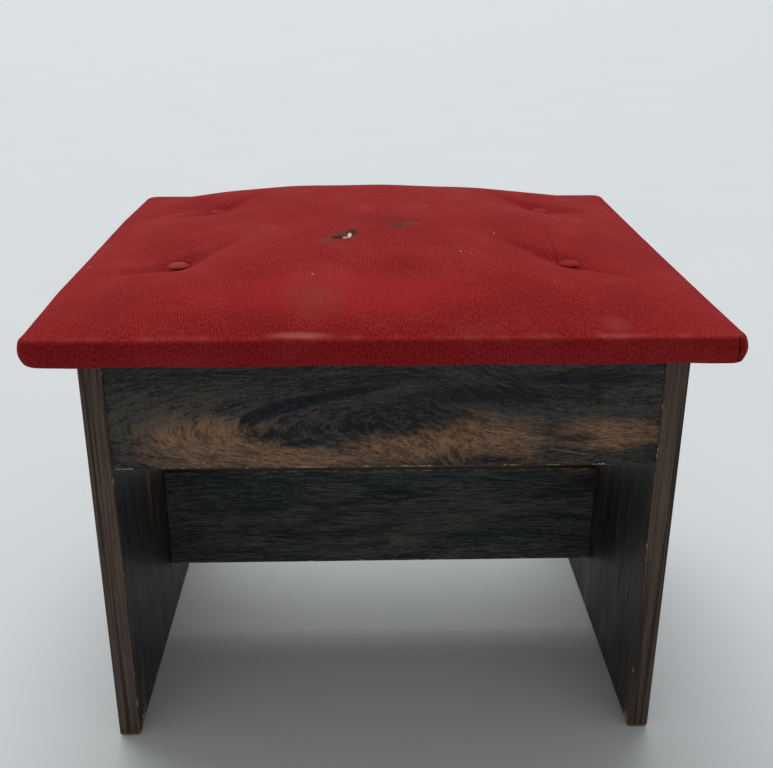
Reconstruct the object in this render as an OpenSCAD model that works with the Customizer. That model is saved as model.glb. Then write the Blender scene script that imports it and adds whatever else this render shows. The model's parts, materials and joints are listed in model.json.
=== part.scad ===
// Vanity stool: two side panels, two aprons and a low rail of laminated board,
// under an overhanging buttoned seat. The front faces -Y, the floor is at z = 0
// and the origin lies under the middle of the seat.

/* [Panels] */
// Width over both side panels
base_w = 460; // [380:1:560]
// Depth of a side panel from its front edge to its rear edge
panel_d = 364; // [280:1:440]
// Height of a side panel, and so of the seat board's underside
panel_h = 365; // [320:1:460]
// Thickness of the laminated board that every panel, apron and rail is cut from
board_t = 18; // [15:1:22]
// Radius of the rounded arrises along the underside of each side panel
foot_r = 4; // [2:0.5:7]
// Chamfer that softens the arrises of the edge bands
arris = 0.5; // [0.2:0.1:1]

/* [Aprons and rail] */
// Height of the front and rear aprons
apron_h = 106; // [80:1:130]
// Setback of an apron's face behind the panel edges
apron_inset = 1.3; // [0:0.1:6]
// Height of the low rail
rail_h = 104; // [60:1:120]
// Height of the rail's lower edge above the floor
rail_z = 58; // [40:1:80]
// Thickness of the band glued over each sawn edge
band_t = 1; // [0.6:0.1:2]

/* [Dowels] */
// Diameter of a joint dowel
dowel_d = 8; // [6:1:10]
// Length of a joint dowel
dowel_len = 32; // [26:1:40]
// Depth that a dowel enters the side panel
dowel_in_panel = 12; // [8:0.5:13]
// Distance between the two dowels of one joint
dowel_pitch = 60; // [40:1:70]
// Chamfer on each dowel end
dowel_chamfer = 1; // [0.5:0.1:1.5]

/* [Corner blocks] */
// Length of a corner block along each wall
block_leg = 45; // [40:1:60]
// Height of a corner block
block_h = 30; // [24:1:40]
// Width of the blunted tip at each end of a corner block
block_blunt = 5; // [3:0.5:8]
// Distance of the seat screw from both walls
seat_screw_inset = 13; // [11:0.5:16]
// Distance of a wall screw from the neighbouring wall
wall_screw_inset = 28; // [26:0.5:32]

/* [Screws] */
// Diameter of the seat screws
seat_screw_d = 4; // [3.5:0.5:5]
// Length of the seat screws
seat_screw_len = 38; // [34:1:40]
// Diameter of the screws that hold the blocks to the walls
wall_screw_d = 3.5; // [3:0.5:4]
// Length of the screws that hold the blocks to the walls
wall_screw_len = 22; // [18:1:24]
// Head diameter of every screw, as a multiple of its own diameter
screw_head_share = 2; // [1.8:0.1:2.2]

/* [Seat board] */
// How far the covered seat overhangs each side panel
side_overhang = 24; // [24:1:60]
// How far the covered seat overhangs the panels at the front and the rear
end_overhang = 46; // [24:1:80]
// Thickness of the board inside the seat
seat_board_t = 12; // [10:0.5:18]
// Radius of the seat's corners, seen from above
seat_corner_r = 12; // [8:1:24]

/* [Upholstery] */
// Height of the covered edge, from its underside to its crease
seat_edge_h = 20; // [18:0.5:34]
// Rise of the crown above the crease
crown_h = 34; // [10:1:50]
// How flat the crown stays across the seat before it falls away
crown_power_x = 2.7; // [2:0.1:6]
// How flat the crown stays from front to back before it falls away
crown_power_y = 4; // [2:0.1:8]
// Thickness of the ribbed cover cloth
cloth_t = 1.2; // [0.8:0.1:2]
// Radius of the roll between the top and the sides
edge_roll = 4; // [2:0.5:5]
// How far the sides pull in half way between the corners
side_draw = 1.2; // [0:0.1:3]
// How far the lower edge of the cover draws in under the roll
hem_draw = 1.5; // [0.5:0.1:3]
// Width of cloth turned in under the board
turn_in = 22; // [18:0.5:23]

/* [Buttons] */
// Diameter of a covered button
button_d = 19; // [14:0.5:24]
// Height of a covered button
button_h = 8; // [7:0.5:10]
// Distance of each button's middle from the nearer side of the seat
button_inset_x = 94; // [70:1:110]
// Distance of each button's middle from the nearer end of the seat
button_inset_y = 137; // [110:1:160]
// How far the front row of buttons sits to the right of the rear row
front_row_shift = -7; // [-10:1:10]
// Depth that each button pulls the crown down
tuft_depth = 15; // [6:0.5:18]
// Reach of the dip around a button
tuft_reach = 38; // [24:1:50]
// Diameter of the twine that holds a button
twine_d = 2; // [1.5:0.1:3]
// Diameter of the washer that the twine is knotted against
washer_d = 16; // [12:1:22]
// Thickness of that washer
washer_t = 1.2; // [0.8:0.1:2]
// Diameter of the knot under the washer
knot_d = 5; // [4:0.5:7]

/* [Staples] */
// Length of a staple's crown
staple_w = 10; // [8:0.5:12]
// Length of a staple's legs
staple_leg = 8; // [5:0.5:9]
// Width of the staple wire
staple_wire_w = 1.2; // [0.8:0.1:1.6]
// Thickness of the staple wire
staple_wire_t = 0.6; // [0.5:0.1:0.9]
// Greatest distance from one staple to the next
staple_pitch = 62; // [40:1:80]

/* [Fits] */
// Gap round each dowel, screw and staple in its hole
fit_gap = 0.1; // [0.05:0.05:0.2]
// Gap between the layers of the seat
soft_gap = 0.3; // [0.2:0.05:0.4]
// Spare depth at the blind end of a hole
hole_spare = 1; // [0.5:0.1:2]
// Gap between a button's back and the bottom of its dip
button_gap = 0.8; // [0.6:0.05:0.9]
// Gap between the twine and the layers it passes through
twine_gap = 0.6; // [0.4:0.1:1]

/* [Hidden] */

// One overrun for every cut that has to pass a face
overrun = 1;
// Least radius that a corner keeps as the form steps inwards
least_r = 1;
$fn = 48;

wood_colour = [0.20, 0.13, 0.10];
band_colour = [0.31, 0.24, 0.20];
softwood_colour = [0.78, 0.63, 0.42];
chipboard_colour = [0.66, 0.52, 0.36];
steel_colour = [0.70, 0.70, 0.72];
foam_colour = [0.90, 0.80, 0.55];
cloth_colour = [0.56, 0.12, 0.15];
twine_colour = [0.85, 0.80, 0.68];

// Walls and levels of the base
wall_x = base_w / 2 - board_t;
panel_y = panel_d / 2;
apron_front_y = -panel_y + apron_inset;
apron_inner_y = apron_front_y + board_t;
apron_z = panel_h - apron_h;
apron_mid_z = apron_z + apron_h / 2;
rail_mid_z = rail_z + rail_h / 2;
dowel_in_rail = dowel_len - dowel_in_panel;

// The covered seat, and its levels from the cloth turned in under the board to the crease
seat_w = base_w + 2 * side_overhang;
seat_d = panel_d + 2 * end_overhang;
board_z = panel_h;
board_top = board_z + seat_board_t;
cover_bottom = board_z - soft_gap - cloth_t;
crease_z = cover_bottom + seat_edge_h;
board_inset = side_draw + cloth_t + soft_gap;
button_x = seat_w / 2 - button_inset_x;
button_y = seat_d / 2 - button_inset_y;

// Shares of the half width and half depth at which the form has its lines;
// the buttons lie on one of them
near_shares = [0.36, 0.64, 0.84];
far_shares = [0.3, 0.62, 0.9];

// Height of a button's rim and radius of its back, as shares of its height and diameter
rim_share = 0.6;
back_share = 0.12;
// Length of a screw's point, as a share of its diameter
tip_share = 1.5;
// How sharply the dips die out at the edges
fade_power = 8;

// Screw shapes
function head_d(d) = d * screw_head_share;
function head_h(d) = (head_d(d) - d) / 2;

// A point pulled onto the rounded corner of a rectangle of half sizes a and b
function round_corner(x, y, a, b, r) =
    let(qx = abs(x) - (a - r), qy = abs(y) - (b - r))
    (qx > 0 && qy > 0)
        ? let(k = max(qx, qy) / norm([qx, qy]))
            [sign(x) * (a - r + qx * k), sign(y) * (b - r + qy * k)]
        : [x, y];

// Shares of the half width and half depth at which the buttons lie on the cover
button_u = button_x / (seat_w / 2 - edge_roll);
button_v = button_y / (seat_d / 2 - edge_roll);

// Full rows of shares: from the far edge, past the button line, over the middle and back
function half_row(at) = concat(
    [0], [for (s = near_shares) s * at], [at], [for (s = far_shares) at + (1 - at) * s], [1]);
function full_row(at) = let(h = half_row(at), n = len(h))
    concat([for (i = [n - 1 : -1 : 1]) -h[i]], h);

share_x = full_row(button_u);
share_y = full_row(button_v);
nx = len(share_x);
ny = len(share_y);

// The crown falls away to nothing at the edges, and each button pulls a dip into it
function crown(u, v) = crown_h * (1 - pow(abs(u), crown_power_x)) * (1 - pow(abs(v), crown_power_y));
function edge_fade(u, v) = (1 - pow(u, fade_power)) * (1 - pow(v, fade_power));
function dip(u, v) =
    exp(-norm([(abs(u) - button_u) * seat_w, (abs(v) - button_v) * seat_d]) / 2 / tuft_reach);
function top_rise(u, v) = crown(u, v) - tuft_depth * dip(u, v) * edge_fade(u, v);
function button_level() = crease_z + top_rise(button_u, button_v);

// Sideways shift of the form, from none at the rear buttons to the whole at the front ones
function row_shift(v) = front_row_shift * max(0, min(1, (button_v - v) / (2 * button_v)));

// A plan point of the form at a share of its half sizes, inset all round, with
// the sides drawn in between the corners
function plan(u, v, inset) =
    let(dx = side_draw * (1 - v * v) * abs(u), dy = side_draw * (1 - u * u) * abs(v))
    round_corner(
        u * (seat_w / 2 - inset - dx) + row_shift(v) * edge_fade(u, v),
        v * (seat_d / 2 - inset - dy),
        seat_w / 2 - inset - dx, seat_d / 2 - inset - dy, max(seat_corner_r - inset, least_r));

// Shares round the border of the form, counter-clockwise from the front left corner
border = concat(
    [for (i = [0 : nx - 2]) [i, 0]], [for (j = [0 : ny - 2]) [nx - 1, j]],
    [for (i = [nx - 1 : -1 : 1]) [i, ny - 1]], [for (j = [ny - 1 : -1 : 1]) [0, j]]);

// The closed form of the seat: a crowned top, sides that follow the rings of
// [inset, level] from the crease down, and a flat underside
module cushion_form(inset, rings) {
    nb = len(border);
    top = [for (j = [0 : ny - 1], i = [0 : nx - 1])
        let(p = plan(share_x[i], share_y[j], inset + edge_roll))
        [p[0], p[1], crease_z - inset + top_rise(share_x[i], share_y[j])]];
    sides = [for (ring = rings, k = border)
        let(p = plan(share_x[k[0]], share_y[k[1]], ring[0])) [p[0], p[1], ring[1]]];
    base = len(top);
    middle = base + len(sides);
    top_faces = [for (j = [0 : ny - 2], i = [0 : nx - 2], half = [0, 1])
        let(a = j * nx + i, b = a + 1, c = a + nx, d = c + 1)
        half == 0 ? [a, c, b] : [b, c, d]];
    crease_faces = [for (k = [0 : nb - 1], half = [0, 1])
        let(n = (k + 1) % nb,
            a = border[k][1] * nx + border[k][0], b = border[n][1] * nx + border[n][0],
            c = base + k, d = base + n)
        half == 0 ? [a, b, c] : [b, d, c]];
    side_faces = [for (r = [0 : len(rings) - 2], k = [0 : nb - 1], half = [0, 1])
        let(n = (k + 1) % nb, a = base + r * nb + k, b = base + r * nb + n, c = a + nb, d = b + nb)
        half == 0 ? [a, b, c] : [b, d, c]];
    last = base + (len(rings) - 1) * nb;
    base_faces = [for (k = [0 : nb - 1]) [last + (k + 1) % nb, middle, last + k]];
    points = concat(top, sides, [[0, 0, rings[len(rings) - 1][1]]]);
    polyhedron(points, concat(top_faces, crease_faces, side_faces, base_faces), convexity = 6);
}

// Rings of the cover's outside: over the roll, down the side and into the hem
cover_rings = [
    [edge_roll * (1 - sin(45)), crease_z - edge_roll * (1 - cos(45))],
    [0, crease_z - edge_roll],
    [hem_draw / 2, cover_bottom + edge_roll / 2],
    [hem_draw + edge_roll / 2, cover_bottom]
];
// Rings of the space inside the cover
inside_rings = [
    [cloth_t, crease_z - cloth_t - edge_roll],
    [cloth_t + hem_draw / 2, cover_bottom + cloth_t]
];
// Rings of the foam, which ends on the board
foam_rings = [
    [cloth_t + soft_gap, crease_z - cloth_t - soft_gap - edge_roll / 2],
    [board_inset, board_top + soft_gap]
];

// Outline of a side panel seen from the front, rounded underneath
module panel_outline() {
    translate([-board_t / 2, foot_r]) square([board_t, panel_h - foot_r]);
    translate([-board_t / 2 + foot_r, 0]) square([board_t - 2 * foot_r, panel_h]);
    for (side = [-1, 1]) translate([side * (board_t / 2 - foot_r), foot_r]) circle(foot_r);
}

// A length of side panel from y = 0 back, with its middle plane at x = 0
module panel_slab(depth) {
    translate([0, depth, 0]) rotate([90, 0, 0]) linear_extrude(depth) panel_outline();
}

// Both dowel holes of one joint, opening towards +X, with their mouth at the origin
module dowel_holes(depth) {
    for (side = [-1, 1]) {
        translate([overrun, 0, side * dowel_pitch / 2])
            rotate([0, -90, 0])
                cylinder(d = dowel_d + 2 * fit_gap, h = depth + hole_spare + overrun);
    }
}

// Both dowels of one joint, entering the wall on the -X side by dowel_in_panel
module dowel_pair() {
    for (side = [-1, 1]) {
        translate([-dowel_in_panel, 0, side * dowel_pitch / 2])
            rotate([0, 90, 0]) {
                cylinder(d1 = dowel_d - 2 * dowel_chamfer, d2 = dowel_d, h = dowel_chamfer);
                translate([0, 0, dowel_chamfer])
                    cylinder(d = dowel_d, h = dowel_len - 2 * dowel_chamfer);
                translate([0, 0, dowel_len - dowel_chamfer])
                    cylinder(d1 = dowel_d, d2 = dowel_d - 2 * dowel_chamfer, h = dowel_chamfer);
            }
    }
}

// Side panel with its inner face towards +X, moved so that this face lies at x = 0
module side_panel() {
    difference() {
        translate([-board_t / 2, -panel_y + band_t, 0]) panel_slab(panel_d - 2 * band_t);
        for (side = [-1, 1]) {
            translate([0, side * (apron_inner_y - board_t / 2), apron_mid_z])
                dowel_holes(dowel_in_panel);
            translate([0, side * (apron_inner_y + wall_screw_inset), panel_h - block_h / 2])
                rotate([0, -90, 0]) translate([0, 0, -overrun])
                    cylinder(d = wall_screw_d + 2 * fit_gap,
                        h = overrun + wall_screw_grip + hole_spare);
        }
        translate([0, 0, rail_mid_z]) dowel_holes(dowel_in_panel);
    }
}

// Section of a band on a sawn edge, with its outer corners chamfered
module band_section() {
    polygon([
        [-board_t / 2 + arris, 0], [board_t / 2 - arris, 0], [board_t / 2, arris],
        [board_t / 2, band_t], [-board_t / 2, band_t], [-board_t / 2, arris]]);
}

// Band on a side panel's front edge, cut to the panel's rounded underside
module panel_band() {
    translate([-board_t / 2, -panel_y, 0])
        intersection() {
            linear_extrude(panel_h) band_section();
            panel_slab(band_t);
        }
}

// Distance that a wall screw goes into the wall, and where its head sits in the block
block_depth_at_screw = block_leg - wall_screw_inset;
wall_screw_sink = block_depth_at_screw - head_h(wall_screw_d);
wall_screw_grip = wall_screw_len - wall_screw_sink;

// Board between the walls, from z = 0 up, with dowel holes in both ends
module cross_board(h, hole_z) {
    difference() {
        rotate([90, 0, 90]) translate([0, h / 2, -wall_x])
            linear_extrude(2 * wall_x) square([board_t, h], center = true);
        for (side = [-1, 1])
            mirror([side > 0 ? 0 : 1, 0, 0])
                translate([wall_x, 0, hole_z]) dowel_holes(dowel_in_rail);
    }
}

// Band glued under or over a cross board: the chamfered side faces down
module cross_band() {
    translate([-wall_x, 0, 0]) rotate([90, 0, 90]) linear_extrude(2 * wall_x) band_section();
}

// Apron standing in front of its own middle plane, with holes for the block screws
module apron() {
    difference() {
        translate([0, apron_inner_y - board_t / 2, apron_z + band_t])
            cross_board(apron_h - band_t, apron_h / 2 - band_t);
        for (side = [-1, 1])
            translate([side * (wall_x - wall_screw_inset), apron_inner_y + overrun,
                panel_h - block_h / 2])
                rotate([90, 0, 0])
                    cylinder(d = wall_screw_d + 2 * fit_gap,
                        h = overrun + wall_screw_grip + hole_spare);
    }
}

// Joint dowels at both ends of a cross board
module end_dowels(y, z) {
    for (side = [-1, 1])
        mirror([side > 0 ? 1 : 0, 0, 0])
            translate([-wall_x, y, z]) dowel_pair();
}

// Countersunk screw with its head's face at the origin, pointing along +Z
module wood_screw(d, length) {
    tip = tip_share * d;
    rotate_extrude()
        polygon([
            [0, 0], [head_d(d) / 2, 0], [d / 2, head_h(d)], [d / 2, length - tip], [0, length]]);
}

// Hole for a countersunk screw, counterbored back from its head's face
module screw_hole(d, length, counterbore) {
    cylinder(d = d + 2 * fit_gap, h = length);
    translate([0, 0, -counterbore])
        cylinder(d = head_d(d) + 2 * fit_gap, h = counterbore);
    rotate_extrude()
        polygon([[0, 0], [head_d(d) / 2 + fit_gap, 0], [d / 2 + fit_gap, head_h(d)], [0, head_h(d)]]);
}

// Place in a front left corner block of the screw into the side panel
module at_panel_screw() {
    translate([wall_screw_sink, wall_screw_inset, block_h / 2]) rotate([0, -90, 0]) children();
}

// Place in a front left corner block of the screw into the apron
module at_apron_screw() {
    translate([wall_screw_inset, wall_screw_sink, block_h / 2]) rotate([90, 0, 0]) children();
}

// Place in a front left corner block of the screw up into the seat board
module at_seat_screw() {
    translate([seat_screw_inset, seat_screw_inset, 0]) children();
}

// Front left corner block with its two glued faces at x = 0 and y = 0
module corner_block() {
    difference() {
        linear_extrude(block_h)
            polygon([
                [0, 0], [block_leg, 0], [block_leg, block_blunt],
                [block_blunt, block_leg], [0, block_leg]]);
        at_seat_screw() screw_hole(seat_screw_d, block_h + overrun, overrun);
        at_panel_screw() screw_hole(wall_screw_d, wall_screw_sink + overrun, block_leg);
        at_apron_screw() screw_hole(wall_screw_d, wall_screw_sink + overrun, block_leg);
    }
}

// Moves a front left corner piece into the corner at this side and end
module in_corner(right, rear) {
    mirror([right ? 1 : 0, 0, 0]) mirror([0, rear ? 1 : 0, 0])
        translate([-wall_x, apron_inner_y, panel_h - block_h]) children();
}

// Repeats a piece in all four corners
module in_corners() {
    for (right = [false, true], rear = [false, true]) in_corner(right, rear) children();
}

// Moves a piece to the button at this side and end
module at_button(sx, sy) {
    translate([sx * button_x + (sy < 0 ? front_row_shift : 0), sy * button_y, 0]) children();
}

// Repeats a piece at all four buttons
module at_buttons() {
    for (sx = [-1, 1], sy = [-1, 1]) at_button(sx, sy) children();
}

// Staples along one direction: how many, and where the first and last stand
staple_inset = turn_in / 2;
function staple_count(length) = ceil(length / staple_pitch);
function staple_places(length) = let(n = staple_count(length), step = length / n)
    [for (i = [0 : n - 1]) -length / 2 + (i + 0.5) * step];

// Repeats a staple shape round the turned-in cloth
module at_staples() {
    run_x = seat_w - 2 * turn_in;
    run_y = seat_d - 2 * turn_in;
    for (side = [-1, 1]) {
        for (x = staple_places(run_x))
            translate([x, side * (seat_d / 2 - staple_inset - hem_draw), cover_bottom]) children();
        for (y = staple_places(run_y))
            translate([side * (seat_w / 2 - staple_inset - hem_draw), y, cover_bottom])
                rotate([0, 0, 90]) children();
    }
}

// Staple with its crown under z = 0 and its legs above
module staple() {
    translate([-staple_w / 2, -staple_wire_w / 2, -staple_wire_t])
        cube([staple_w, staple_wire_w, staple_wire_t]);
    for (side = [-1, 1])
        translate([side * (staple_w - staple_wire_t) / 2 - staple_wire_t / 2,
            -staple_wire_w / 2, 0])
            cube([staple_wire_t, staple_wire_w, staple_leg]);
}

// Slot that a staple's legs are driven into
module staple_slot() {
    translate([-staple_w / 2 - fit_gap, -staple_wire_w / 2 - fit_gap, -overrun / 4])
        cube([staple_w + 2 * fit_gap, staple_wire_w + 2 * fit_gap,
            staple_leg + hole_spare + overrun / 4]);
}

// Covered button: a domed cap over a tapered back, standing on z = 0
module covered_button() {
    rim_z = button_h * rim_share;
    back_r = button_d * back_share;
    cap = [for (a = [0 : 15 : 90])
        [button_d / 2 * cos(a), rim_z + (button_h - rim_z) * sin(a)]];
    rotate_extrude() polygon(concat([[0, 0], [back_r, 0]], cap));
}

module left_side_panel() { color(wood_colour) translate([-wall_x, 0, 0]) side_panel(); }
module right_side_panel() { mirror([1, 0, 0]) left_side_panel(); }
module front_apron() { color(wood_colour) apron(); }
module rear_apron() { mirror([0, 1, 0]) front_apron(); }
module lower_rail() {
    color(wood_colour) translate([0, 0, rail_z + band_t])
        cross_board(rail_h - 2 * band_t, rail_h / 2 - band_t);
}
module left_front_edge_band() { color(band_colour) translate([-wall_x, 0, 0]) panel_band(); }
module right_front_edge_band() { mirror([1, 0, 0]) left_front_edge_band(); }
module left_rear_edge_band() { mirror([0, 1, 0]) left_front_edge_band(); }
module right_rear_edge_band() { mirror([1, 0, 0]) left_rear_edge_band(); }
module front_apron_edge_band() {
    color(band_colour) translate([0, apron_inner_y - board_t / 2, apron_z]) cross_band();
}
module rear_apron_edge_band() { mirror([0, 1, 0]) front_apron_edge_band(); }
module rail_bottom_edge_band() { color(band_colour) translate([0, 0, rail_z]) cross_band(); }
module rail_top_edge_band() {
    color(band_colour) translate([0, 0, rail_z + rail_h]) mirror([0, 0, 1]) cross_band();
}
module front_apron_dowels() { color(softwood_colour) end_dowels(apron_inner_y - board_t / 2, apron_mid_z); }
module rear_apron_dowels() { mirror([0, 1, 0]) front_apron_dowels(); }
module lower_rail_dowels() { color(softwood_colour) end_dowels(0, rail_mid_z); }
module corner_block_front_left() { color(softwood_colour) in_corner(false, false) corner_block(); }
module corner_block_front_right() { color(softwood_colour) in_corner(true, false) corner_block(); }
module corner_block_rear_left() { color(softwood_colour) in_corner(false, true) corner_block(); }
module corner_block_rear_right() { color(softwood_colour) in_corner(true, true) corner_block(); }
module wall_screws() {
    color(steel_colour) in_corners() {
        at_panel_screw() wood_screw(wall_screw_d, wall_screw_len);
        at_apron_screw() wood_screw(wall_screw_d, wall_screw_len);
    }
}
module seat_screws() {
    color(steel_colour) in_corners() at_seat_screw() wood_screw(seat_screw_d, seat_screw_len);
}

// Board of the seat, with holes for the screws, the button twine and the staples
module seat_board() {
    half_w = seat_w / 2 - board_inset;
    half_d = seat_d / 2 - board_inset;
    r = seat_corner_r - board_inset;
    color(chipboard_colour) difference() {
        translate([0, 0, board_z]) linear_extrude(seat_board_t) {
            square([2 * half_w, 2 * (half_d - r)], center = true);
            square([2 * (half_w - r), 2 * half_d], center = true);
            for (sx = [-1, 1], sy = [-1, 1])
                translate([sx * (half_w - r), sy * (half_d - r)]) circle(r);
        }
        at_buttons() translate([0, 0, board_z - overrun])
            cylinder(d = knot_d + 2 * twine_gap, h = seat_board_t + 2 * overrun);
        in_corners() at_seat_screw() translate([0, 0, block_h - overrun])
            cylinder(d = seat_screw_d + 2 * fit_gap,
                h = overrun + seat_screw_len - block_h + hole_spare);
        at_staples() staple_slot();
    }
}

// Foam pad, crowned and tufted, with the holes that the twine passes through
module seat_foam() {
    color(foam_colour) difference() {
        cushion_form(cloth_t + soft_gap, foam_rings);
        at_buttons() translate([0, 0, board_top - overrun])
            cylinder(d = twine_d + 2 * twine_gap, h = crown_h + seat_edge_h);
    }
}

// Cover: a closed skin over foam and board, turned in under the board's edge
module seat_cover() {
    window = [seat_w - 2 * turn_in, seat_d - 2 * turn_in, 2 * overrun + cloth_t];
    color(cloth_colour) difference() {
        cushion_form(0, cover_rings);
        cushion_form(cloth_t, inside_rings);
        translate([-window[0] / 2, -window[1] / 2, cover_bottom - overrun]) cube(window);
        at_buttons() translate([0, 0, crease_z - overrun])
            cylinder(d = twine_d + 2 * twine_gap, h = crown_h + seat_edge_h);
        at_staples() staple_slot();
    }
}

module cover_staples() { color(steel_colour) at_staples() staple(); }

// Button seated on the bottom of its dip
module seated_button(sx, sy) {
    color(cloth_colour) at_button(sx, sy) translate([0, 0, button_level() + button_gap])
        covered_button();
}
module button_front_left() { seated_button(-1, -1); }
module button_front_right() { seated_button(1, -1); }
module button_rear_left() { seated_button(-1, 1); }
module button_rear_right() { seated_button(1, 1); }

// Twine from the back of each button through the seat to a knot under its washer
module button_ties() {
    color(twine_colour) at_buttons() {
        translate([0, 0, board_z - washer_t - knot_d / 2])
            cylinder(d = twine_d, h = button_level() + button_gap - board_z + washer_t + knot_d / 2);
        translate([0, 0, board_z - washer_t - knot_d / 2]) sphere(d = knot_d);
    }
}

module tie_washers() {
    color(steel_colour) at_buttons() translate([0, 0, board_z - washer_t]) difference() {
        cylinder(d = washer_d, h = washer_t);
        translate([0, 0, -overrun])
            cylinder(d = twine_d + 2 * twine_gap, h = washer_t + 2 * overrun);
    }
}

left_side_panel();
right_side_panel();
front_apron();
rear_apron();
lower_rail();
left_front_edge_band();
right_front_edge_band();
left_rear_edge_band();
right_rear_edge_band();
front_apron_edge_band();
rear_apron_edge_band();
rail_top_edge_band();
rail_bottom_edge_band();
front_apron_dowels();
rear_apron_dowels();
lower_rail_dowels();
corner_block_front_left();
corner_block_front_right();
corner_block_rear_left();
corner_block_rear_right();
wall_screws();
seat_screws();
seat_board();
seat_foam();
seat_cover();
cover_staples();
button_front_left();
button_front_right();
button_rear_left();
button_rear_right();
button_ties();
tie_washers();
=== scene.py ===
"""Looks of a vanity stool with a buttoned seat.

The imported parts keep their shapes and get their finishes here. The cloth cover, the foam pad
and the four covered buttons are modelled here and stand for their plain solids. Everything is
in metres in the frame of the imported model: +X to the right, +Y to the rear and +Z up.
"""

from __future__ import annotations

import json
import logging
import math
from collections.abc import Callable, Iterable, Sequence
from dataclasses import dataclass, field, replace
from enum import Enum
from functools import reduce

import bpy
import numpy as np
from mathutils import Matrix, Vector

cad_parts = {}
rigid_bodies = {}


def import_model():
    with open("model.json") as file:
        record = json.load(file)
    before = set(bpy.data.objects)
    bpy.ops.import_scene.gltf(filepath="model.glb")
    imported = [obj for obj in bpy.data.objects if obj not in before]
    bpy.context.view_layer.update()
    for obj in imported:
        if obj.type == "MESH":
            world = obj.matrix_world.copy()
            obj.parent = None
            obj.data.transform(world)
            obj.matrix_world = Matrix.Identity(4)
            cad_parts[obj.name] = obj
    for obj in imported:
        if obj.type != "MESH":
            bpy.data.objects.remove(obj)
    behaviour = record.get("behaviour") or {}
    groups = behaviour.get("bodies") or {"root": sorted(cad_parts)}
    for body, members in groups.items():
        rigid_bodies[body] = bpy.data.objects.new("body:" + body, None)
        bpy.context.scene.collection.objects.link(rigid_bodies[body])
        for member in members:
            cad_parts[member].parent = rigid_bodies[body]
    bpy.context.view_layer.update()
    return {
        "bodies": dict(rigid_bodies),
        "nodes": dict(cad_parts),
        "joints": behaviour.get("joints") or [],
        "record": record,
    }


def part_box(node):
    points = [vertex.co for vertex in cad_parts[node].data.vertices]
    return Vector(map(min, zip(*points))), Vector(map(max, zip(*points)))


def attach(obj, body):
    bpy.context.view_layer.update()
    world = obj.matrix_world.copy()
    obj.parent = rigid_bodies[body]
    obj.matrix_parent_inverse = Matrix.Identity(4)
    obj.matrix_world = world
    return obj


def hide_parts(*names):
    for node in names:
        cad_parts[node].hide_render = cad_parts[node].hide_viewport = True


LOG = logging.getLogger("vanity_stool")
MM = 0.001
BODY = "root"

Colour = tuple[float, float, float]
Pair = tuple[float, float]
Point = tuple[float, float, float]
Arrays = tuple[np.ndarray, np.ndarray]


def linear(colour: Colour) -> tuple[float, ...]:
    """Turns a display colour into the renderer's linear colour.

    Args:
        colour: Red, green and blue from 0 to 255, as a screen shows them.

    Returns:
        Linear red, green, blue and an alpha of 1.
    """
    share = np.asarray(colour, float) / 255
    curved = ((share + 0.055) / 1.055) ** 2.4
    return (*np.where(share <= 0.04045, share / 12.92, curved).tolist(), 1.0)


def maths(operation: str) -> Callable[..., Wire]:
    """Makes a method that adds a Math node on a wire and on the values that follow it.

    Args:
        operation: What the node works out.

    Returns:
        The method.
    """
    def method(self: Wire, *others: Wire | float) -> Wire:
        """Adds the node."""
        return self.shader.node(
            "ShaderNodeMath", {"operation": operation}, dict(enumerate((self, *others))))

    return method


class Wire:
    """An output socket that shader maths is written with.

    The operators take wires and numbers. The methods least and most give the smaller and the
    larger value, size leaves out the sign, and sine takes radians.
    """

    __add__ = __radd__ = maths("ADD")
    __sub__ = maths("SUBTRACT")
    __mul__ = __rmul__ = maths("MULTIPLY")
    __truediv__ = maths("DIVIDE")
    __pow__ = maths("POWER")
    least = maths("MINIMUM")
    most = maths("MAXIMUM")
    size = maths("ABSOLUTE")
    sine = maths("SINE")

    def __init__(self, shader: Shader, socket: bpy.types.NodeSocket) -> None:
        """Keeps the shader that the socket belongs to."""
        self.shader = shader
        self.socket = socket

    def __rsub__(self, first: float) -> Wire:
        """Difference with the number first."""
        return self.shader.node("ShaderNodeMath", {"operation": "SUBTRACT"}, {0: first, 1: self})

    def step(self, low: float, high: float) -> Wire:
        """Rises smoothly from 0 at low to 1 at high."""
        return self.shader.node(
            "ShaderNodeMapRange", {"interpolation_type": "SMOOTHSTEP"}, {0: self, 1: low, 2: high})

    def other(self, output: str) -> Wire:
        """Another output of the same node."""
        return Wire(self.shader, self.socket.node.outputs[output])


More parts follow.
